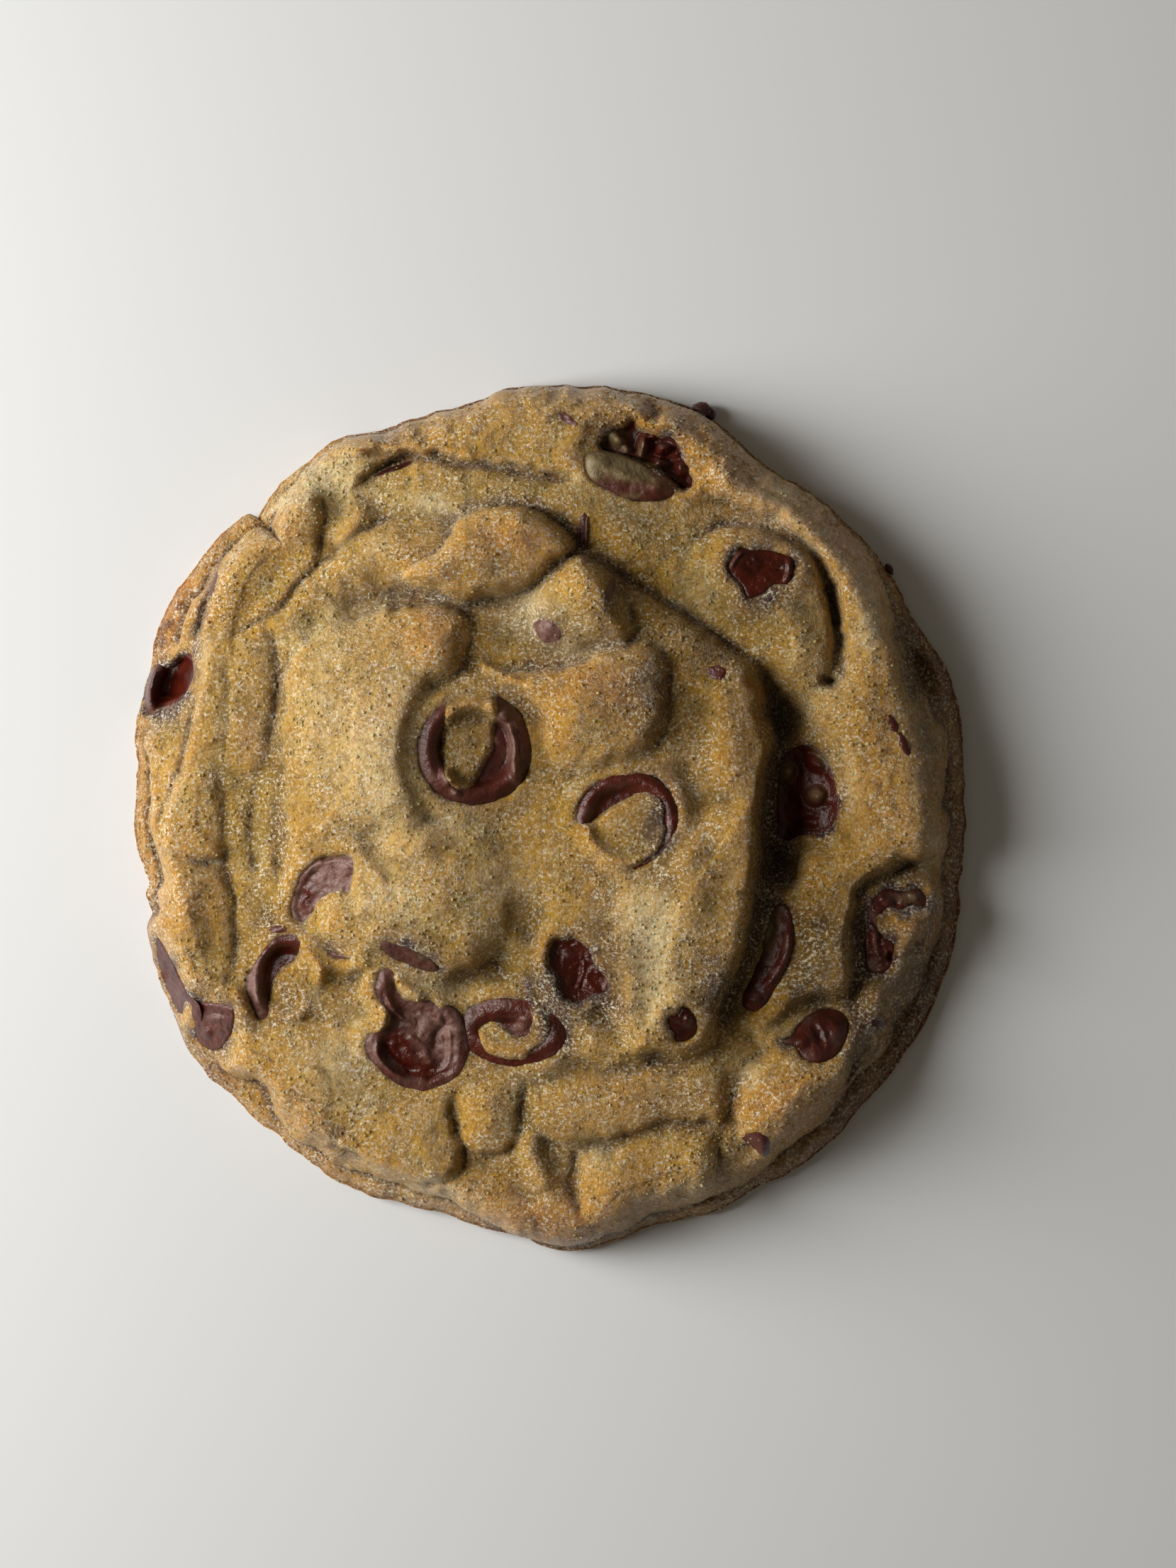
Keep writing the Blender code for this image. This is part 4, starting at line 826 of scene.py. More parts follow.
         features=(Mound(8.0, 42.8, 1.8, 1.1, -35, 1.9), Mound(9.1, 41.7, 0.8, 0.7, 0, 1.3), Mound(10.9, 42.2, 0.9, 1.9, -12, 1.7),
                   Mound(13.2, 41.8, 1.3, 0.9, 12, 2.1), Mound(12.9, 40.2, 1.4, 0.8, -14, 1.7), Mound(15.1, 39.6, 1.0, 1.5, 25, 1.6),
                   Mound(12.0, 43.1, 0.8, 0.5, 0, 1.0), Mound(14.6, 41.2, 0.8, 0.7, 0, 1.0)),
         bloom_and_highlight_patches=(Patch(13.3, 42.1, 0.8, 0.3, 0, 0.4), Patch(13, 40.4, 0.9, 0.25, -14, 0.4)),
         coats=(Patch(7.6, 43.0, 1.4, 0.9, -30, 0.9), Patch(9, 41.8, 0.6, 0.5, 0, 0.5), Patch(10.8, 41.6, 0.6, 1.0, 0, 0.5))),
    Chip("chip_crevice_east",
         ((26.4, 5.4), (27.4, 7.8), (29.4, 8.4), (31.3, 7.4), (32.4, 5), (33, 2), (32.6, -0.6), (31, -1.8), (29, -1.9),
          (27.4, -2.6), (26.2, -2.0), (26.0, 1.4)),
         rise=-0.9, lip=0.15, film=1.5, bloom_and_highlight=0.02, crumble=0.15,
         features=(Mound(30.5, 2.6, 1.5, 1.4, 20, 1.4), Mound(27.2, 5.2, 1.3, 1.6, -10, 1.5), Mound(30.4, 6.2, 1.8, 1.0, -40, 0.8),
                   Mound(29.8, -0.4, 1.8, 0.9, 0, 0.6)),
         bloom_and_highlight_patches=(Patch(30.4, 2.9, 0.9, 0.9, 0, 0.5),),
         coats=(Patch(30.5, 2.8, 0.9, 0.8, 0, 0.5), Patch(27.0, 5.4, 0.9, 1.1, 0, 0.9), Patch(31.2, 7.0, 1.2, 0.5, -45, 0.7))),
    Chip("chip_long_east",
         ((26.2, -9.4), (27.4, -10.0), (27.9, -12), (27.9, -14), (27.4, -16), (26.6, -17.8), (25.7, -19.4), (24.7, -21),
          (23.4, -21.8), (22.1, -21.2), (22.0, -19.8), (22.8, -18.2), (23.5, -16.6), (24.2, -14.8), (24.6, -12.6), (25.2, -10.6)),
         rise=0.5, lip=0.1, film=1.0, bloom_and_highlight=0.06, crumble=0.16,
         features=(Stroke(Form.RIDGE, ((27.2, -12), (27.2, -14.4), (26.2, -16.8), (24.6, -19.2)), 0.7, 0.7),
                   Mound(23.4, -20.2, 1.1, 1.3, -30, 0.5), Mound(25.2, -12.4, 1.0, 2.2, 0, -0.5)),
         bloom_and_highlight_patches=(Patch(25.4, -17.2, 0.5, 0.5, 0, 0.6), Patch(23.2, -19.8, 0.8, 0.5, 0, 0.4), Patch(26.9, -14.6, 0.3, 1.6, 0, 0.4)),
         coats=(Patch(25.2, -12.6, 0.8, 2.4, -10, 0.9),)),
    Chip("chip_glossy_southeast",
         ((26.0, -24.9), (27.6, -24.4), (28.4, -23.1), (30, -21.9), (31.5, -21.4), (33.3, -21.7), (34.2, -23),
          (34, -24.7), (33, -26.4), (31.5, -27.4), (30, -27.5), (28.8, -26.9), (28, -25.9), (27, -25.4)),
         rise=0.7, lip=0.4, film=0.7, bloom_and_highlight=0.08, crumble=0.14,
         features=(Mound(28.8, -25.0, 1, 0.9, 0, 0.4), Mound(32.6, -23.8, 1, 1.4, 0, 0.4), Mound(30.6, -24.4, 0.8, 1.8, 20, -0.5)),
         bloom_and_highlight_patches=(Patch(29.6, -22.6, 0.8, 0.5, 30, 0.4), Patch(29.4, -26.6, 0.8, 0.5, 0, 0.8), Patch(26.8, -25, 0.6, 0.3, 0, 0.7),
                 Patch(32.6, -25, 0.7, 0.9, 0, 0.4))),
    Chip("chip_small_southeast",
         ((13.6, -22.0), (14.6, -21.7), (15.1, -20.7), (16.2, -21.2), (16.9, -22.6), (16.8, -24.0), (15.6, -24.9), (14.4, -24.7),
          (14.3, -23.8), (13.7, -23.2)),
         rise=0.2, lip=0.4, film=0.8, bloom_and_highlight=0.0, crumble=0.22, features=(Mound(15.8, -22.4, 0.7, 1.1, 0, 0.5),), bloom_and_highlight_patches=(Patch(14.2, -24.6, 0.6, 0.3, 0, 0.5),)),
    Chip("chip_edge_east_upper",
         ((36.6, -9.4), (37.4, -8.3), (38.8, -7.8), (40.4, -8.2), (42.0, -7.7), (43.1, -8.8), (42.8, -10.1), (41.4, -9.8),
          (40.2, -10.4), (38.6, -10.1), (37.6, -10.8), (36.7, -10.5)),
         rise=0.1, lip=0.25, film=1.4, bloom_and_highlight=0.1, crumble=0.3, bloom_and_highlight_patches=(Patch(39.6, -8.8, 1.2, 0.4, 0, 0.4),),
         features=(Mound(41.6, -8.6, 1.0, 0.8, 0, 0.5), Mound(38.4, -9.2, 1.2, 0.8, 0, 0.4)),
         coats=(Patch(41, -9, 1.0, 0.6, 0, 0.6),)),
    Chip("chip_edge_east_lower",
         ((36.0, -11.8), (37.0, -11.8), (37.8, -13.2), (39.1, -13.9), (39.4, -15.4), (38.7, -17.1), (37.4, -17.6),
          (36.2, -17.0), (35.8, -14.6)),
         rise=0.1, lip=0.25, film=1.4, bloom_and_highlight=0.1, crumble=0.3,
         features=(Stroke(Form.RIDGE, ((37.0, -12.4), (37.2, -14.4), (38.0, -16.4)), 0.6, 0.6), Mound(38.9, -15.6, 0.6, 0.8, 0, -0.9)),
         bloom_and_highlight_patches=(Patch(37, -16.6, 0.6, 0.7, 0, 0.7), Patch(37.2, -13.6, 0.4, 1.0, 0, 0.4))),
    Chip("chip_edge_west",
         ((-45.7, 16.2), (-44.8, 17.6), (-43.2, 17.4), (-41.6, 18.6), (-40.2, 18.8), (-39.8, 16.6), (-40.4, 14.6),
          (-41.8, 13.0), (-43.6, 12.2), (-45.6, 11.8), (-46.2, 13.6)),
         rise=0.3, lip=0.3, film=1.5, bloom_and_highlight=0.0, crumble=0.12,
         features=(Stroke(Form.RIDGE, ((-44.2, 17.4), (-45.0, 15.6), (-45.2, 13.4), (-44.6, 12.2)), 2.2, 0.9),
                   Stroke(Form.HOLLOW, ((-41.0, 18.6), (-42.2, 16.6), (-42.8, 14.6), (-42.6, 13.4)), 3.0, 1.7)),
         bloom_and_highlight_patches=(Patch(-45.3, 15.4, 0.6, 1.8, -12, 0.2),),
         coats=(Patch(-43.2, 12.4, 2.2, 0.4, 15, 0.4),)),
    Chip("chip_edge_southwest_long",
         ((-44.4, -13.4), (-43.2, -14.4), (-41.8, -17.4), (-40.6, -19.8), (-39.2, -21.2), (-39.2, -23.2), (-40.4, -25.0),
          (-42.2, -23.0), (-43.5, -20), (-44.4, -17)),
         rise=0.1, lip=0.2, film=1.2, bloom_and_highlight=0.0, crumble=0.16,
         features=(Mound(-43.4, -17.6, 0.8, 2.2, -20, -0.6), Mound(-40.2, -22.4, 0.9, 1.4, -30, 0.4)),
         bloom_and_highlight_patches=(Patch(-41.8, -19.4, 0.5, 1.6, -25, 0.4),)),
    Chip("chip_edge_southwest_short",
         ((-39.8, -21.2), (-38, -20.7), (-35.2, -21.3), (-35.3, -23.6), (-36.9, -26.2), (-38.8, -26.3), (-40.2, -24.8)),
         rise=0.4, lip=0.2, film=1.2, bloom_and_highlight=0.2, crumble=0.2,
         features=(Mound(-37.4, -22.6, 1.2, 0.7, 0, 0.5), Mound(-38.6, -24.4, 0.8, 1, 0, 0.4)),
         bloom_and_highlight_patches=(Patch(-37.2, -22.4, 0.9, 0.3, 0, 0.5),)),
    Chip("chip_faded_southwest",
         ((-18.3, -13.5), (-17, -13.7), (-14.6, -14.5), (-12.4, -15.9), (-11.9, -16.9), (-13.4, -17.1),
          (-15.6, -16.3), (-17.5, -15.4), (-18.4, -14.4)),
         rise=0.25, lip=0.1, film=0.9, bloom_and_highlight=0.4, crumble=0.1, coats=(Patch(-13.6, -15.2, 1.6, 0.5, -30, 0.5),)),
)


# ------------------------------------------------------------------ the dough's surface
@dataclass
class Relief:
    """The height of the dough's top all over the cookie."""

    waist: float = 1.7
    skirt: float = 3.2
    edge: float = 7.0
    edge_width: float = 5.2
    seats: dict[str, Seat] = field(default_factory=dict)

    def radius(self, angle: Array) -> Array:
        """Radius of the outline in each direction, with its small unevenness."""
        curve = smooth_curve(OUTLINE, closed=True)
        around = np.arctan2(curve[:, 1], curve[:, 0])
        order = np.argsort(around)
        plain = np.interp(angle, around[order], np.hypot(curve[:, 0], curve[:, 1])[order], period=2 * math.pi)
        u, v = 48 * np.cos(angle), 48 * np.sin(angle)
        return plain + 0.30 * rough(u, v, 2.6, 81, 3)

    def free_height(self, x0: Array, y0: Array) -> Array:
        """Height of the dough before the chips press in.

        Args:
            x0: Places along X.
            y0: Places along Y.

        Returns:
            Heights in millimetres.
        """
        x = x0 + 0.6 * rough(x0, y0, 9.0, 3, 2) + 0.34 * rough(x0, y0, 3.0, 9, 3)
        y = y0 + 0.6 * rough(x0, y0, 9.0, 5, 2) + 0.34 * rough(x0, y0, 3.0, 12, 3)
        angle = np.arctan2(y0, x0)
        rim = self.radius(angle) - np.hypot(x0, y0)
        inset = np.interp(np.degrees(angle) % 360, TIER_ANGLES, TIER_INSETS)
        inset = inset * (0.9 + 0.45 * rough(x0, y0, 7.0, 41, 2)) + 0.3 * rough(x0, y0, 2.4, 43, 2)
        skirt = self.skirt * quarter_round(rim / 1.8) + 0.15 * np.clip(rim, 0, 6)
        slab = 2.4 + self.edge * quarter_round((rim - inset) / self.edge_width)
        slab = slab + 0.2 * np.clip(rim - inset - 3, 0, 14)
        height = smooth_max(np.where(rim > inset, slab, 0), skirt, 0.8)
        for feature in (*PADS, *MOUNDS, *STROKES):
            height = feature.raise_on(x, y, height)
        turned = 0.5 + 0.5 * np.cos(angle + math.radians(25))
        cap = 3.4 + 8.0 * quarter_round((rim - inset) / (3.4 + 2.6 * turned ** 2)) + 1.0 * np.clip(rim - 3, 0, 99)
        ceiling = smooth_max(np.where(rim > inset, cap, 0), skirt + 0.3, 0.6)
        height = -smooth_max(-height, -ceiling, 1.6) + 0.28 * rough(x0, y0, 6.5, 21, 2) * np.clip(rim / 5, 0, 1)
        height = height + 0.17 * rough(x0, y0, 1.9, 31, 3) * np.clip(rim / 2.5, 0.3, 1)
        height = height + 0.09 * rough(x0, y0, 1.1, 37, 2)
        loose = sum(soft_hump(ellipse(x0, y0, spot[:2], spot[2:4], spot[4]) / 1.3) for spot in CRUMBLY)
        height = height + 0.7 * np.clip(loose, 0, 1) * rough(x0, y0, 2.0, 35, 4)
        return np.maximum(height, self.waist + 0.15 * rough(x0, y0, 1.5, 33, 2))

    def seat(self, chip: Chip) -> Seat:
        """The plane fitted to the dough along a chip's outline."""
        if chip.node not in self.seats:
            points = np.array(chip.outline)
            middle = points.mean(0)
            x, y = (middle + (points - middle) * 1.12).T
            terms = np.stack([np.ones_like(x), x - middle[0], y - middle[1]], axis=1)
            level, slope_x, slope_y = np.linalg.lstsq(terms, self.free_height(x, y), rcond=None)[0]
            self.seats[chip.node] = Seat(level, chip.tilt * slope_x, chip.tilt * slope_y, *middle)
        return self.seats[chip.node]

    def press(self, chip: Chip, x: Array, y: Array, height: Array) -> Array:
        """Let a chip into the dough, with the dough's lip round it and its covers on it.

        Args:
            chip: The chip.
            x: Places along X.
            y: Places along Y.
            height: The dough so far.

        Returns:
            The dough round and under the chip.
        """
        off = chip.outside(x, y)
        near = off < 5
        px, py, off, free = x[near], y[near], off[near], height[near]
        depth = chip.depth(px, py)
        on_chip = smooth_step((depth + 0.8) / 1.6)
        level = self.seat(chip).plane(px, py)
        lip = chip.lip + (chip.cover_lip - chip.lip) * smooth_step((depth - 0.8) / 0.8)
        lift = np.where(off < 0, -1.7 * smooth_step(-off / 0.8), lip * quarter_round(off / 0.9))
        laid = level + lift + on_chip * chip.top(px, py, np.maximum(depth, 0.6 * chip.edge))
        more = free - laid
        more = on_chip * np.maximum(more, 0) + (1 - on_chip) * more
        laid = laid + smooth_step((off - 0.4) / 2.4) * more
        keep = 1 - smooth_step((off - 3) / 2)
        height = height.copy()
        height[near] = free + keep * (laid - free)
        return height

    def height(self, x: Array, y: Array) -> Array:
        """Height of the dough's top with the chips in it."""
        height = self.free_height(x, y)
        for chip in CHIPS:
            height = self.press(chip, x, y, height)
        return height

    @staticmethod
    def browned_and_shaded(angle: Array) -> Array:
        """How much brown the rim takes in each direction: oven browning, and on the side away from the light painted
        shade as well.
        """
        return np.interp(np.degrees(angle) % 360, BROWN_ANGLES, BROWN_AND_SHADE_SHARES)

    def tints(self, x: Array, y: Array, z: Array) -> dict[str, Array]:
        """How strong each of the dough's colours is.

        Args:
            x: Places along X.
            y: Places along Y.
            z: Their heights.

        Returns:
            One value a place for each colour's name.
        """
        found = {}
        u = x + 0.8 * rough(x, y, 4.0, 91, 3)
        v = y + 0.8 * rough(x, y, 4.0, 95, 3)
        for tint, patches in TINTS.items():
            found[tint.value] = sum(patch.spread(u, v) for patch in patches)
        angle = np.arctan2(y, x)
        rim = self.radius(angle) - np.hypot(x, y)
        uneven = 1 + 0.7 * rough(x, y, 5.0, 97, 3)
        found[Tint.TOAST_AND_PAINTED_LIGHT.value] += 0.7 * np.exp(-np.clip(rim, 0, 99) / 3.6) * uneven
        # Brown low on the rim and on the underside; its strength by direction is partly painted shade on the side away
        # from the light.
        low = np.exp(-np.clip(rim, 0, 99) / 1.6) + 0.6 * smooth_step((5.0 - z) / 4.0)
        found[Tint.BROWN_AND_PAINTED_SHADE.value] += 0.7 * self.browned_and_shaded(angle) * low * uneven + 0.5 * (z < 0.6)
        # brown along the strokes that carry it, partly the creases' own colour and partly painted shade
        for stroke in STROKES:
            if stroke.brown_and_shade:
                distance, _, full = stroke.measures(x, y)
                found[Tint.BROWN_AND_PAINTED_SHADE.value] += 0.55 * stroke.brown_and_shade * full * np.exp(-(distance / (0.9 * stroke.width)) ** 2)
        for chip in CHIPS:
            off = np.clip(chip.outside(x, y), 0, None)
            spotted = np.clip(0.6 + 1.3 * rough(x, y, 1.6, 99, 3), 0, 1.5)
            found[Tint.COCOA_AND_PAINTED_SHADE.value] += 0.75 * chip.film * np.exp(-(off / 0.9)) * spotted
        return {name: np.clip(value, 0, 1.4) for name, value in found.items()}


# ------------------------------------------------------------------ finishes
def linear(hex_colour: str) -> tuple[float, float, float, float]:
    """An sRGB hex colour as the linear values that shaders take.

    Args:
        hex_colour: Six hex digits after a hash sign.

    Returns:
        Red, green, blue and alpha.
    """
    parts = [int(hex_colour[i:i + 2], 16) / 255 for i in (1, 3, 5)]
    red, green, blue = (p / 12.92 if p <= 0.04045 else ((p + 0.055) / 1.055) ** 2.4 for p in parts)
    return red, green, blue, 1.0


def per_mm(size: float) -> float:
    """The pattern scale, on coordinates in metres, whose features are this many millimetres wide."""
    return 1.0 / (size * MM)


def add_node(tree: bpy.types.NodeTree, kind: str, settings: dict | None = None,
             values: dict | None = None, links: dict | None = None) -> bpy.types.Node:
    """Add a shader node with its settings and links.

    Args:
        tree: The material's node tree.
        kind: The node's type name.
        settings: Properties of the node itself.
        values: Input sockets and their constant values.
        links: Input sockets and the output sockets that feed them.

    Returns:
        The node.
    """
    node = tree.nodes.new(kind)
    for name, value in (settings or {}).items():
        setattr(node, name, value)
    for name, value in (values or {}).items():
        node.inputs[name].default_value = value
    for name, source in (links or {}).items():
        tree.links.new(source, node.inputs[name])
    return node


@dataclass
class Layers:
    """A colour built up layer by layer in one material."""

    tree: bpy.types.NodeTree
    place: bpy.types.NodeSocket
    colour: bpy.types.NodeSocket | None = None

    def noise(self, size: float, detail: float = 2.0, roughness: float = 0.5) -> bpy.types.NodeSocket:
        """Uneven grey whose patches are this many millimetres wide."""
        return add_node(self.tree, "ShaderNodeTexNoise", None,
                        {"Scale": per_mm(size), "Detail": detail, "Roughness": roughness},
                        {"Vector": self.place}).outputs["Fac"]

    def cells(self, size: float) -> bpy.types.NodeSocket:
        """Distance to the nearest of points this many millimetres apart, 0 at a point."""
        return add_node(self.tree, "ShaderNodeTexVoronoi", None, {"Scale": per_mm(size)},
                        {"Vector": self.place}).outputs["Distance"]

    def attribute(self, name: str) -> bpy.types.NodeSocket:
        """A value that the mesh carries at each point."""
        return add_node(self.tree, "ShaderNodeAttribute", {"attribute_name": name}).outputs["Fac"]

    def ranged(self, source: bpy.types.NodeSocket, low: float, high: float, to_low: float = 0.0,
               to_high: float = 1.0) -> bpy.types.NodeSocket:
        """A value taken from one range to another and held inside it."""
        return add_node(self.tree, "ShaderNodeMapRange", None,
                        {"From Min": low, "From Max": high, "To Min": to_low, "To Max": to_high},
                        {"Value": source}).outputs["Result"]

    def maths(self, operation: str, a: bpy.types.NodeSocket, b: "bpy.types.NodeSocket | float") -> bpy.types.NodeSocket:
        """Two values put together."""
        node = add_node(self.tree, "ShaderNodeMath", {"operation": operation})
        for socket, value in zip(node.inputs, (a, b)):
            if isinstance(value, (int, float)):
                socket.default_value = value
            else:
                self.tree.links.new(value, socket)
        return node.outputs[0]

    def lay(self, hex_colour: str, share: bpy.types.NodeSocket, blend: str = "MIX") -> None:
        """Lay a colour over the ones so far.

        Args:
            hex_colour: The colour.
            share: How much of it at each place.
            blend: How it mixes with what is below.
        """
        node = add_node(self.tree, "ShaderNodeMix", {"data_type": "RGBA", "blend_type": blend, "clamp_factor": True})
        node.inputs[7].default_value = linear(hex_colour)
        self.tree.links.new(share, node.inputs[0])
        if self.colour is None:
            node.inputs[6].default_value = linear(hex_colour)
        else:
            self.tree.links.new(self.colour, node.inputs[6])
        self.colour = node.outputs[2]


def new_material(name: str) -> tuple[bpy.types.Material, bpy.types.Node, Layers]:
    """A material with its shader, and layers that read the object's own coordinates.

    Args:
        name: What the real material is.

    Returns:
        The material, its shader node and its layers.
    """
    material = bpy.data.materials.new(name)
    material.use_nodes = True
    shader = material.node_tree.nodes["Principled BSDF"]
    place = add_node(material.node_tree, "ShaderNodeTexCoord").outputs["Object"]
    return material, shader, Layers(material.node_tree, place)


@dataclass(frozen=True)
class BakedDoughFinish:
    """Baked cookie dough: flour, butter and sugar set by the oven's heat.

    The crumb is fine and granular, a little buttery, so it is half matt with small glints. High and outer
    parts brown first, dry parts go whitish with sugar, and what lies low stays pale olive. Some of the colour
    is painted light: shade laid into hollows, crevices and slopes turned from the light, paler and more golden
    patches on some lit spots, and fine whitish flecks that are partly sugar grains and partly painted glints.
    """

    tan: str = "#C79A33"
    golden: str = "#C8921F"
    olive: str = "#9B8532"
    toast: str = "#C4801C"
    pale: str = "#F1D79E"
    brown: str = "#7A481B"
    cocoa: str = "#4A3128"
    shade: str = "#5C3C06"
    sugar_and_glint: str = "#FBF1DA"
    grain: float = 0.4
    pimple: float = 1.1

    def material(self) -> bpy.types.Material:
        """Build the material.

        Returns:
            The material, read from the object's coordinates and the mesh's own values.
        """
        material, shader, layers = new_material("baked cookie dough")
        layers.lay(self.tan, layers.ranged(layers.noise(9.0), 0.0, 1.0))
        layers.lay(self.golden, layers.ranged(layers.noise(7.0, 3.0), 0.46, 0.66, 0.0, 0.5))
        layers.lay(self.olive, layers.ranged(layers.noise(5.0, 3.0), 0.52, 0.74, 0.0, 0.6))
        layers.lay(self.pale, layers.ranged(layers.noise(2.2, 3.0), 0.55, 0.75, 0.0, 0.5))
        uneven = layers.ranged(layers.noise(1.6, 4.0, 0.65), 0.3, 0.7, 0.45, 1.25)
        # values from the mesh: hollow and deep are painted shade; brown and cocoa are browning and chocolate film, with
        # painted shade in creases, crevices and on the rim's far side; pale and toast are partly painted light; cool
        # and ridge are the dough's own colour
        for name, colour in (("cool", self.olive), ("toast", self.toast), ("ridge", self.golden), ("hollow", self.shade),
                             ("brown", self.brown), ("pale", self.pale), ("deep", self.shade), ("cocoa", self.cocoa)):
            layers.lay(colour, layers.maths("MULTIPLY", layers.attribute(name), uneven))
        layers.lay(self.shade, layers.ranged(layers.noise(1.3, 3.0, 0.6), 0.48, 0.34, 0.0, 0.35))
        layers.lay(self.shade, layers.ranged(layers.noise(0.5, 3.0, 0.75), 0.48, 0.36, 0.0, 0.5))
        # fine whitish flecks gathered in clusters: partly sugar grains, partly painted glints
        fleck_clusters = layers.ranged(layers.noise(3.4, 4.0, 0.6), 0.36, 0.62, 0.35, 1.2)
        layers.lay(self.sugar_and_glint, layers.maths("MULTIPLY", layers.ranged(layers.noise(0.36, 3.0, 0.78), 0.51, 0.63, 0.0, 0.8), fleck_clusters))
        tree = material.node_tree
        height = layers.maths("MULTIPLY", layers.noise(self.pimple, 6.0, 0.76), 0.75)
        height = layers.maths("ADD", height, layers.maths("MULTIPLY", layers.noise(self.grain, 3.0, 0.7), 0.3))
        bump = add_node(tree, "ShaderNodeBump", None, {"Strength": 1.0, "Distance": MM}, {"Height": height})
        tree.links.new(layers.colour, shader.inputs["Base Color"])
        tree.links.new(bump.outputs["Normal"], shader.inputs["Normal"])
        tree.links.new(layers.ranged(layers.noise(0.8), 0.3, 0.7, 0.17, 0.34), shader.inputs["Roughness"])
        shader.inputs["IOR"].default_value = 1.7
        shader.inputs["Subsurface Weight"].default_value = 0.6
        shader.inputs["Subsurface Radius"].default_value = (1.0, 0.5, 0.2)
        shader.inputs["Subsurface Scale"].default_value = 0.9 * MM
        return material


@dataclass(frozen=True)
class ChocolateFinish:
    """Dark baking chocolate that softened in the oven and set again.

    Bare parts are glossy and red-brown, and cocoa butter that came to the surface dried to a matt pinkish
    film on the parts that stand up. The same pinkish grey is also laid on faces turned to the light as painted
    highlight, and taken off some faces in shade.
    """

    bare: str = "#4C170B"
    deep: str = "#2A0904"
    # matt pinkish grey: cocoa butter come to the surface, and on lit faces painted highlight
    bloom_and_highlight: str = "#7A5A51"
    coat: str = "#7A6A4A"

    def material(self) -> bpy.types.Material:
        """Build the material.

        Returns:
            The material, read from the object's coordinates and the mesh's own values.
        """
        material, shader, layers = new_material("dark baking chocolate")
        layers.lay(self.bare, layers.ranged(layers.noise(3.0), 0.0, 1.0))
        layers.lay(self.deep, layers.ranged(layers.noise(2.4, 3.0), 0.45, 0.70, 0.0, 0.8))
        streaky = layers.ranged(layers.noise(0.9, 4.0, 0.7), 0.32, 0.66, 0.25, 1.35)
        # the pinkish grey laid where the mesh asks: bloom, and painted highlight on lit faces
        bloom_and_highlight_share = layers.maths("MULTIPLY", layers.attribute("bloom_and_highlight"), streaky)
        layers.lay(self.bloom_and_highlight, bloom_and_highlight_share)
        coated = layers.maths("MULTIPLY", layers.attribute("coat"), layers.ranged(layers.noise(0.8, 3.0), 0.3, 0.6, 0.5, 1.3))
        layers.lay(self.coat, coated)
        tree = material.node_tree
        height = layers.maths("MULTIPLY", layers.noise(0.9, 4.0, 0.65), 0.24)
        bump = add_node(tree, "ShaderNodeBump", None, {"Strength": 1.0, "Distance": MM}, {"Height": height})
        tree.links.new(layers.colour, shader.inputs["Base Color"])
        tree.links.new(bump.outputs["Normal"], shader.inputs["Normal"])
        matt = layers.maths("ADD", layers.ranged(bloom_and_highlight_share, 0.0, 1.0, 0.24, 0.5), layers.ranged(coated, 0.0, 1.0, 0.0, 0.2))
        tree.links.new(matt, shader.inputs["Roughness"])
        shader.inputs["IOR"].default_value = 1.45
        return material


# ------------------------------------------------------------------ building the pieces
def deselect_all() -> None:
    """Leave nothing selected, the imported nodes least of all."""
    bpy.ops.object.select_all(action="DESELECT")


def read_points(mesh: bpy.types.Mesh) -> Array:
    """A mesh's points, one row each."""
    flat = np.zeros(3 * len(mesh.vertices), np.float32)
    mesh.vertices.foreach_get("co", flat)
    return flat.reshape(-1, 3).astype(float)


def write_points(mesh: bpy.types.Mesh, points: Array) -> None:
    """Move a mesh's points, given in millimetres, to their places in metres."""
    mesh.vertices.foreach_set("co", (points * MM).astype(np.float32).ravel())
    mesh.update()


def write_values(mesh: bpy.types.Mesh, values: dict[str, Array]) -> None:
    """Store a value at each point under each name."""
    for name, value in values.items():
        layer = mesh.attributes.new(name, "FLOAT", "POINT")
        layer.data.foreach_set("value", np.asarray(value, np.float32))


def finish_piece(piece: bpy.types.Object, name: str, material: bpy.types.Material) -> None:
    """Name and dress a piece and let it ride on the cookie.

    Args:
        piece: The object.
        name: Its name.
        material: Its only material.
    """
    piece.name = piece.data.name = name
    piece.data.materials.clear()
    piece.data.materials.append(material)
    piece.data.shade_smooth()
    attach(piece, "root")
    log.info("%s: %d faces", name, len(piece.data.polygons))


def blurred(grid: Array, passes: int) -> Array:
    """A grid of heights with its small features worn away."""
    for _ in range(passes):
        wide = np.pad(grid, 1, mode="edge")
        grid = (wide[1:-1, 1:-1] + wide[:-2, 1:-1] + wide[2:, 1:-1] + wide[1:-1, :-2] + wide[1:-1, 2:]) / 5
    return grid


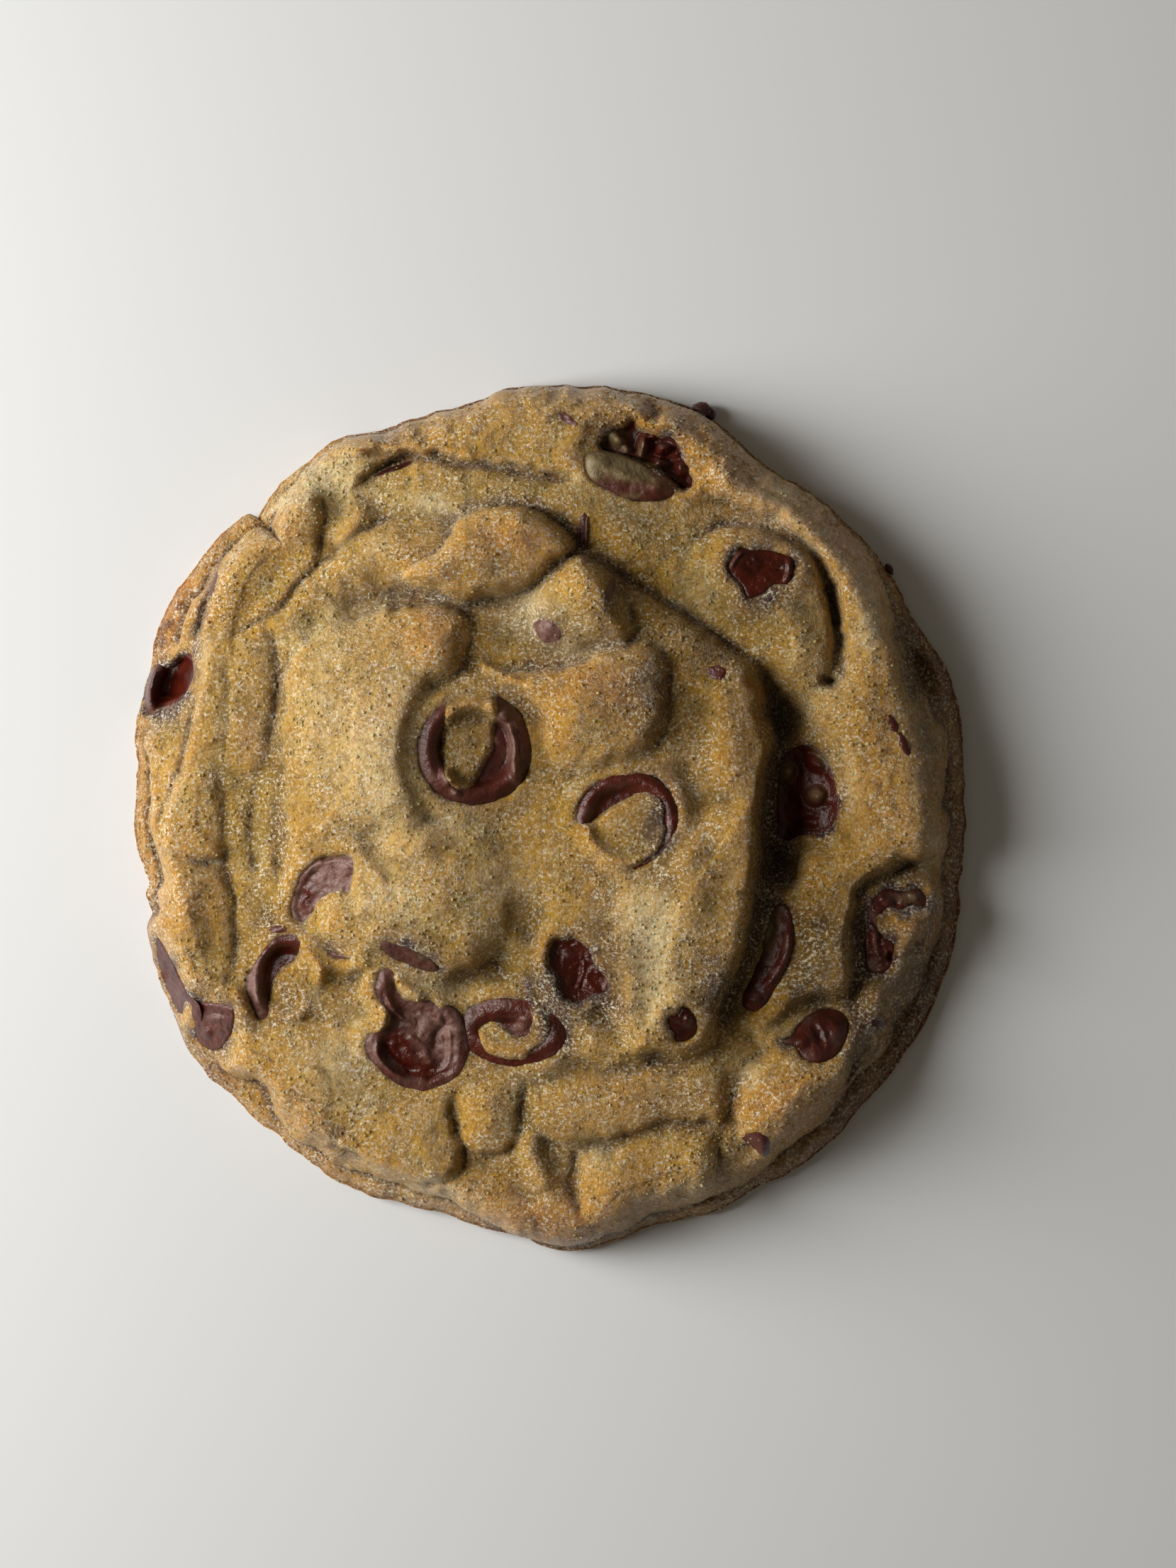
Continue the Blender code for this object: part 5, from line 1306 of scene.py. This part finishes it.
@dataclass
class Dough:
    """The dough: a round grid raised to the relief, with a rounded foot and a flat underside."""

    relief: Relief
    cells: int = 300
    foot_inset: float = 1.0
    points: Array | None = None
    values: dict[str, Array] = field(default_factory=dict)

    def build(self, material: bpy.types.Material) -> bpy.types.Object:
        """Model the dough.

        Args:
            material: The dough's finish.

        Returns:
            The dough, in its place.
        """
        deselect_all()
        bpy.ops.mesh.primitive_grid_add(x_subdivisions=self.cells, y_subdivisions=self.cells, size=2.0)
        piece = bpy.context.object
        bpy.ops.object.mode_set(mode="EDIT")
        bpy.ops.mesh.select_mode(type="EDGE")
        bpy.ops.mesh.select_all(action="DESELECT")
        bpy.ops.mesh.select_non_manifold()
        for _ in range(2):
            bpy.ops.mesh.extrude_edges_move(TRANSFORM_OT_translate={"value": (0, 0, -1)})
        bpy.ops.mesh.edge_face_add()
        bpy.ops.mesh.select_all(action="SELECT")
        bpy.ops.mesh.normals_make_consistent(inside=False)
        bpy.ops.object.mode_set(mode="OBJECT")
        square = read_points(piece.data)
        write_points(piece.data, self._shape(square))
        write_values(piece.data, self.values)
        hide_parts("dough")
        finish_piece(piece, "cookie_dough", material)
        return piece

    def _shape(self, square: Array) -> Array:
        """Take the square grid to the round cookie and raise it, and work out its colours."""
        u, v, level = square.T
        across = u * np.sqrt(1 - v * v / 2)
        up = v * np.sqrt(1 - u * u / 2)
        out = np.hypot(across, up)
        angle = np.arctan2(up, across)
        share = 1.12 * out - 0.12 * out ** 6
        edge = self.relief.radius(angle)
        radius = np.where(level > -0.5, share * edge, np.where(level > -1.5, edge - 0.25, edge - self.foot_inset))
        x, y = radius * np.cos(angle), radius * np.sin(angle)
        on_top = level > -0.5
        z = np.where(level > -1.5, 0.7, 0.0)
        z[on_top] = self.relief.height(x[on_top], y[on_top])
        self.points = np.stack([x, y, z], axis=1)
        self.values = self.relief.tints(x, y, z)
        side = self.cells + 1
        top = z[on_top].reshape(side, side)
        worn = blurred(top, 40)
        # hollow: how far the top lies below its worn-down copy, which the finish paints with shade; ridge: how far it
        # stands above, which the finish browns
        for name, height in (("hollow", worn - top), ("ridge", top - worn)):
            self.values[name] = np.zeros(len(z))
            self.values[name][on_top] = np.clip(height / 0.9, 0, 1).ravel()
        return self.points


@dataclass
class BuiltChip:
    """A chip's mesh: a round solid whose top takes the chip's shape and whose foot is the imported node's."""

    chip: Chip
    relief: Relief
    segments: int = 144
    rings: int = 64
    turnover: float = 0.74

    def build(self, material: bpy.types.Material) -> bpy.types.Object:
        """Model the chip.

        Args:
            material: The chocolate's finish.

        Returns:
            The chip, in its place.
        """
        deselect_all()
        bpy.ops.mesh.primitive_uv_sphere_add(segments=self.segments, ring_count=self.rings, radius=1.0)
        piece = bpy.context.object
        points = self._shape(read_points(piece.data))
        write_points(piece.data, points)
        write_values(piece.data, self._values(points))
        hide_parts(self.chip.node)
        finish_piece(piece, "chocolate_" + self.chip.node, material)
        return piece

    def _shape(self, ball: Array) -> Array:
        """Take the ball to the chip: its upper part becomes the top, the rest the side and foot."""
        around = np.arctan2(ball[:, 1], ball[:, 0])
        down = np.arccos(np.clip(ball[:, 2], -1, 1)) / math.pi
        curve = smooth_curve(self.chip.outline, closed=True, step=0.3)
        seat = self.relief.seat(self.chip)
        away = np.arctan2(curve[:, 1] - seat.y, curve[:, 0] - seat.x)
        reach = np.hypot(curve[:, 0] - seat.x, curve[:, 1] - seat.y)
        order = np.argsort(away)
        edge = np.interp(around, away[order], reach[order], period=2 * math.pi)
        below = np.clip((down - self.turnover) / (1 - self.turnover), 0, 1)
        share = np.where(below > 0, np.interp(below, (0, 0.6, 1), (1, 0.75, 0)), down / self.turnover)
        x, y = seat.x + share * edge * np.cos(around), seat.y + share * edge * np.sin(around)
        rim_x, rim_y = seat.x + edge * np.cos(around), seat.y + edge * np.sin(around)
        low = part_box(self.chip.node)[0].z / MM
        top = seat.plane(x, y) + self.chip.top(x, y, self.chip.depth(x, y)) - self._buried(x, y)
        rim = seat.plane(rim_x, rim_y) + self.chip.top(rim_x, rim_y, np.zeros_like(rim_x)) - self._buried(rim_x, rim_y)
        side = rim + (np.minimum(low, rim - 0.8) - rim) * np.clip(below / 0.6, 0, 1)
        return np.stack([x, y, np.where(below > 0, side, top)], axis=1)

    def _buried(self, x: Array, y: Array) -> Array:
        """How far the chip's covered part lies lower than its bare part."""
        return 1.3 * np.clip(self.chip.outside(x, y) - 0.8, 0, 4)

    def _values(self, points: Array) -> dict[str, Array]:
        """How much matt pinkish grey, partly the chocolate's own and partly painted highlight, and how much dough film
        each point carries.
        """
        x, y, z = points.T
        bloom_and_highlight = np.full(len(x), self.chip.bloom_and_highlight) + sum(patch.spread(x, y) for patch in self.chip.bloom_and_highlight_patches)
        coat = np.zeros(len(x)) + sum(patch.spread(x, y) for patch in self.chip.coats)
        return {"bloom_and_highlight": np.clip(bloom_and_highlight, 0, 1.2), "coat": np.clip(coat, 0, 1.2)}


@dataclass(frozen=True)
class Speck:
    """A small smear or bit of chocolate: its place, halves, turn, and how far it stands up."""

    x: float
    y: float
    half_x: float
    half_y: float
    turn: float
    rise: float
    # pinkish grey on the bit: bloom, and painted highlight where it catches the light
    bloom_and_highlight: float = 0.2


SPECKS = (
    Speck(4.1, 32.4, 0.45, 1.9, -6, 0.25), Speck(4.5, 32.2, 0.22, 1.7, -2, 0.45, 0.6), Speck(3.6, 31.6, 0.25, 1.6, -8, 0.3),
    Speck(19.0, 16.4, 1.2, 0.9, -10, 0.12, 0.1), Speck(38.9, 10.7, 0.5, 1.1, 25, 0.18, 0.1), Speck(40.2, 8.4, 0.5, 1.4, 24, 0.22, 0.1),
    Speck(17.9, 46.8, 1.2, 0.9, -20, 1.1, 0.3), Speck(18.8, 46.4, 0.6, 0.9, 10, 1.0, 0.1), Speck(-17.2, 39.6, 2.4, 0.35, 22, 0.2, 0.1),
    Speck(23.6, -36.3, 1.7, 1.1, -8, 0.15, 0.2), Speck(24.6, -37.4, 0.9, 0.7, 10, 0.1, 0.2), Speck(2.4, 44.9, 1.5, 0.5, -35, 0.1, 0.5),
    Speck(37.4, -23.2, 1.2, 0.5, -8, 0.1, 0.1), Speck(-37.6, 26.4, 0.35, 1.8, -14, 0.1, 0.1), Speck(0.2, 20.9, 2.0, 1.2, -30, 0.1, 0.8),
    Speck(7.2, 25.6, 0.55, 1.5, -15, 0.1, 0.4), Speck(39.3, 28.6, 0.7, 0.4, -60, 0.3, 0.1), Speck(-2.0, -18.6, 0.5, 0.5, 0, 0.1, 0.5),
    Speck(-30.1, -12.4, 1.2, 0.5, 0, 0.1, 0.3), Speck(36.9, -10.6, 0.5, 1.6, 6, 0.15, 0.5),
)


@dataclass
class SpeckPiece:
    """The small bits of chocolate, joined into one piece."""

    relief: Relief
    sink: float = 0.25

    def build(self, material: bpy.types.Material) -> bpy.types.Object:
        """Model each bit as a lump that follows the dough under it, and join them.

        Args:
            material: The chocolate's finish.

        Returns:
            The joined piece.
        """
        deselect_all()
        made = [self._lump(speck) for speck in SPECKS]
        for lump in made:
            lump.select_set(True)
        bpy.context.view_layer.objects.active = made[0]
        bpy.ops.object.join()
        piece = bpy.context.object
        finish_piece(piece, "chocolate_specks", material)
        return piece

    def _lump(self, speck: Speck) -> bpy.types.Object:
        """One bit of chocolate."""
        bpy.ops.mesh.primitive_ico_sphere_add(subdivisions=4, radius=1.0)
        lump = bpy.context.object
        u, v, w = read_points(lump.data).T
        c, s = math.cos(math.radians(speck.turn)), math.sin(math.radians(speck.turn))
        wobble = 1 + 0.18 * rough(2.1 * u + speck.x, 2.1 * v + speck.y, 1.0, 111, 2)
        u, v = u * wobble * speck.half_x, v * wobble * speck.half_y
        x, y = speck.x + u * c - v * s, speck.y + u * s + v * c
        ground = self.relief.height(x, y)
        z = ground + np.where(w > 0, (speck.rise + self.sink) * np.sqrt(np.abs(w)) - self.sink, w - self.sink)
        write_points(lump.data, np.stack([x, y, np.maximum(z, 0.1)], axis=1))
        write_values(lump.data, {"bloom_and_highlight": np.full(len(x), speck.bloom_and_highlight), "coat": np.zeros(len(x))})
        deselect_all()
        return lump


@dataclass
class Crumbs:
    """Loose grains of crumb and sugar that stand on the dough, joined into one piece."""

    dough: Dough
    count: int = 7000
    smallest: float = 0.07
    largest: float = 0.22
    seed: int = 7

    def build(self, material: bpy.types.Material) -> bpy.types.Object:
        """Scatter the grains over the dough's own points.

        Args:
            material: The dough's finish.

        Returns:
            The joined grains.
        """
        deselect_all()
        bpy.ops.mesh.primitive_ico_sphere_add(subdivisions=1, radius=1.0)
        piece = bpy.context.object
        shape = read_points(piece.data)
        faces = np.array([tuple(p.vertices) for p in piece.data.polygons])
        picks = self._pick()
        chance = np.random.default_rng(self.seed + 1)
        half = self.smallest + (self.largest - self.smallest) * chance.random(len(picks)) ** 2.2
        stretch = 0.7 + 0.6 * chance.random((len(picks), 1, 3))
        spin = 2 * math.pi * chance.random(len(picks))
        c, s = np.cos(spin)[:, None], np.sin(spin)[:, None]
        grain = shape[None] * stretch * half[:, None, None]
        turned = np.stack([grain[..., 0] * c - grain[..., 1] * s, grain[..., 0] * s + grain[..., 1] * c, grain[..., 2]], axis=2)
        places = self.dough.points[picks] + np.stack([0 * half, 0 * half, 0.25 * half], axis=1)
        points = (places[:, None] + turned).reshape(-1, 3)
        joined = (faces[None] + len(shape) * np.arange(len(picks))[:, None, None]).reshape(-1, 3)
        mesh = bpy.data.meshes.new("dough_crumbs")
        mesh.from_pydata((points * MM).tolist(), [], joined.tolist())
        values = {name: np.repeat(value[picks], len(shape)) for name, value in self.dough.values.items()}
        values["pale"] = values["pale"] + np.repeat(0.5 * chance.random(len(picks)), len(shape))
        write_values(mesh, values)
        spare, piece.data = piece.data, mesh
        bpy.data.meshes.remove(spare)
        finish_piece(piece, "dough_crumbs", material)
        return piece

    def _pick(self) -> Array:
        """Choose the points that carry a grain, more of them on dry and pale dough."""
        x, y, z = self.dough.points.T
        clear = np.ones(len(x), bool)
        for chip in CHIPS:
            clear &= chip.outside(x, y) > 0.25
        likely = np.clip(0.35 + 0.9 * rough(x, y, 6.0, 121, 3) + 0.6 * self.dough.values["pale"], 0.03, 1.5)
        likely = likely * clear * (z > 2.2)
        chance = np.random.default_rng(self.seed)
        return chance.choice(len(x), self.count, replace=False, p=likely / likely.sum())


# ------------------------------------------------------------------ the studio
@dataclass
class Studio:
    """A plain pale floor, one soft window-like light from the left, a weak fill, and the camera overhead."""

    floor_half: float = 900.0
    floor_colour: str = "#E1E3E6"
    key_place: tuple[float, float, float] = (-340.0, 45.0, 202.0)
    key_size: tuple[float, float] = (200.0, 380.0)
    key_power: float = 2.68
    world_strength: float = 0.105
    lens: float = 100.0
    eye: tuple[float, float, float] = (4.69, 3.92, 501.7)

    def build(self) -> None:
        """Lay the floor, hang the light and set up the camera."""
        self._floor()
        self._light()
        self._camera()
        log.info("studio set up")

    def _floor(self) -> None:
        """A sheet of matt pale card under the cookie."""
        deselect_all()
        bpy.ops.mesh.primitive_plane_add(size=2 * self.floor_half * MM)
        floor = bpy.context.object
        floor.name = "floor"
        material, shader, _ = new_material("matt pale card")
        shader.inputs["Base Color"].default_value = linear(self.floor_colour)
        shader.inputs["Roughness"].default_value = 0.9
        floor.data.materials.append(material)

    def _light(self) -> None:
        """The large soft light and the pale air round it."""
        deselect_all()
        bpy.ops.object.light_add(type="AREA", location=[v * MM for v in self.key_place])
        key = bpy.context.object
        key.data.shape = "RECTANGLE"
        key.data.size, key.data.size_y = (v * MM for v in self.key_size)
        key.data.energy = self.key_power
        key.data.color = (1.0, 0.985, 0.95)
        key.rotation_euler = (-Vector(self.key_place)).to_track_quat("-Z", "Y").to_euler()
        world = bpy.data.worlds.new("pale air")
        world.use_nodes = True
        air = world.node_tree.nodes["Background"]
        air.inputs["Color"].default_value = linear("#FAEBD0")
        air.inputs["Strength"].default_value = self.world_strength
        bpy.context.scene.world = world
        bpy.context.scene.view_settings.view_transform = "Standard"

    def _camera(self) -> None:
        """A camera that looks straight down."""
        bpy.ops.object.camera_add(location=[v * MM for v in self.eye], rotation=(0, 0, 0))
        camera = bpy.context.object
        camera.data.lens = self.lens
        camera.data.clip_start, camera.data.clip_end = 0.01, 10.0
        bpy.context.scene.camera = camera


def main() -> None:
    """Build the cookie and its studio."""
    logging.basicConfig(level=logging.INFO, format="%(name)s: %(message)s")
    relief = Relief()
    baked = BakedDoughFinish().material()
    chocolate = ChocolateFinish().material()
    dough = Dough(relief)
    dough.build(baked)
    Crumbs(dough).build(baked)
    for chip in CHIPS:
        BuiltChip(chip, relief).build(chocolate)
    SpeckPiece(relief).build(chocolate)
    Studio().build()


if __name__ == "__main__":
    main()
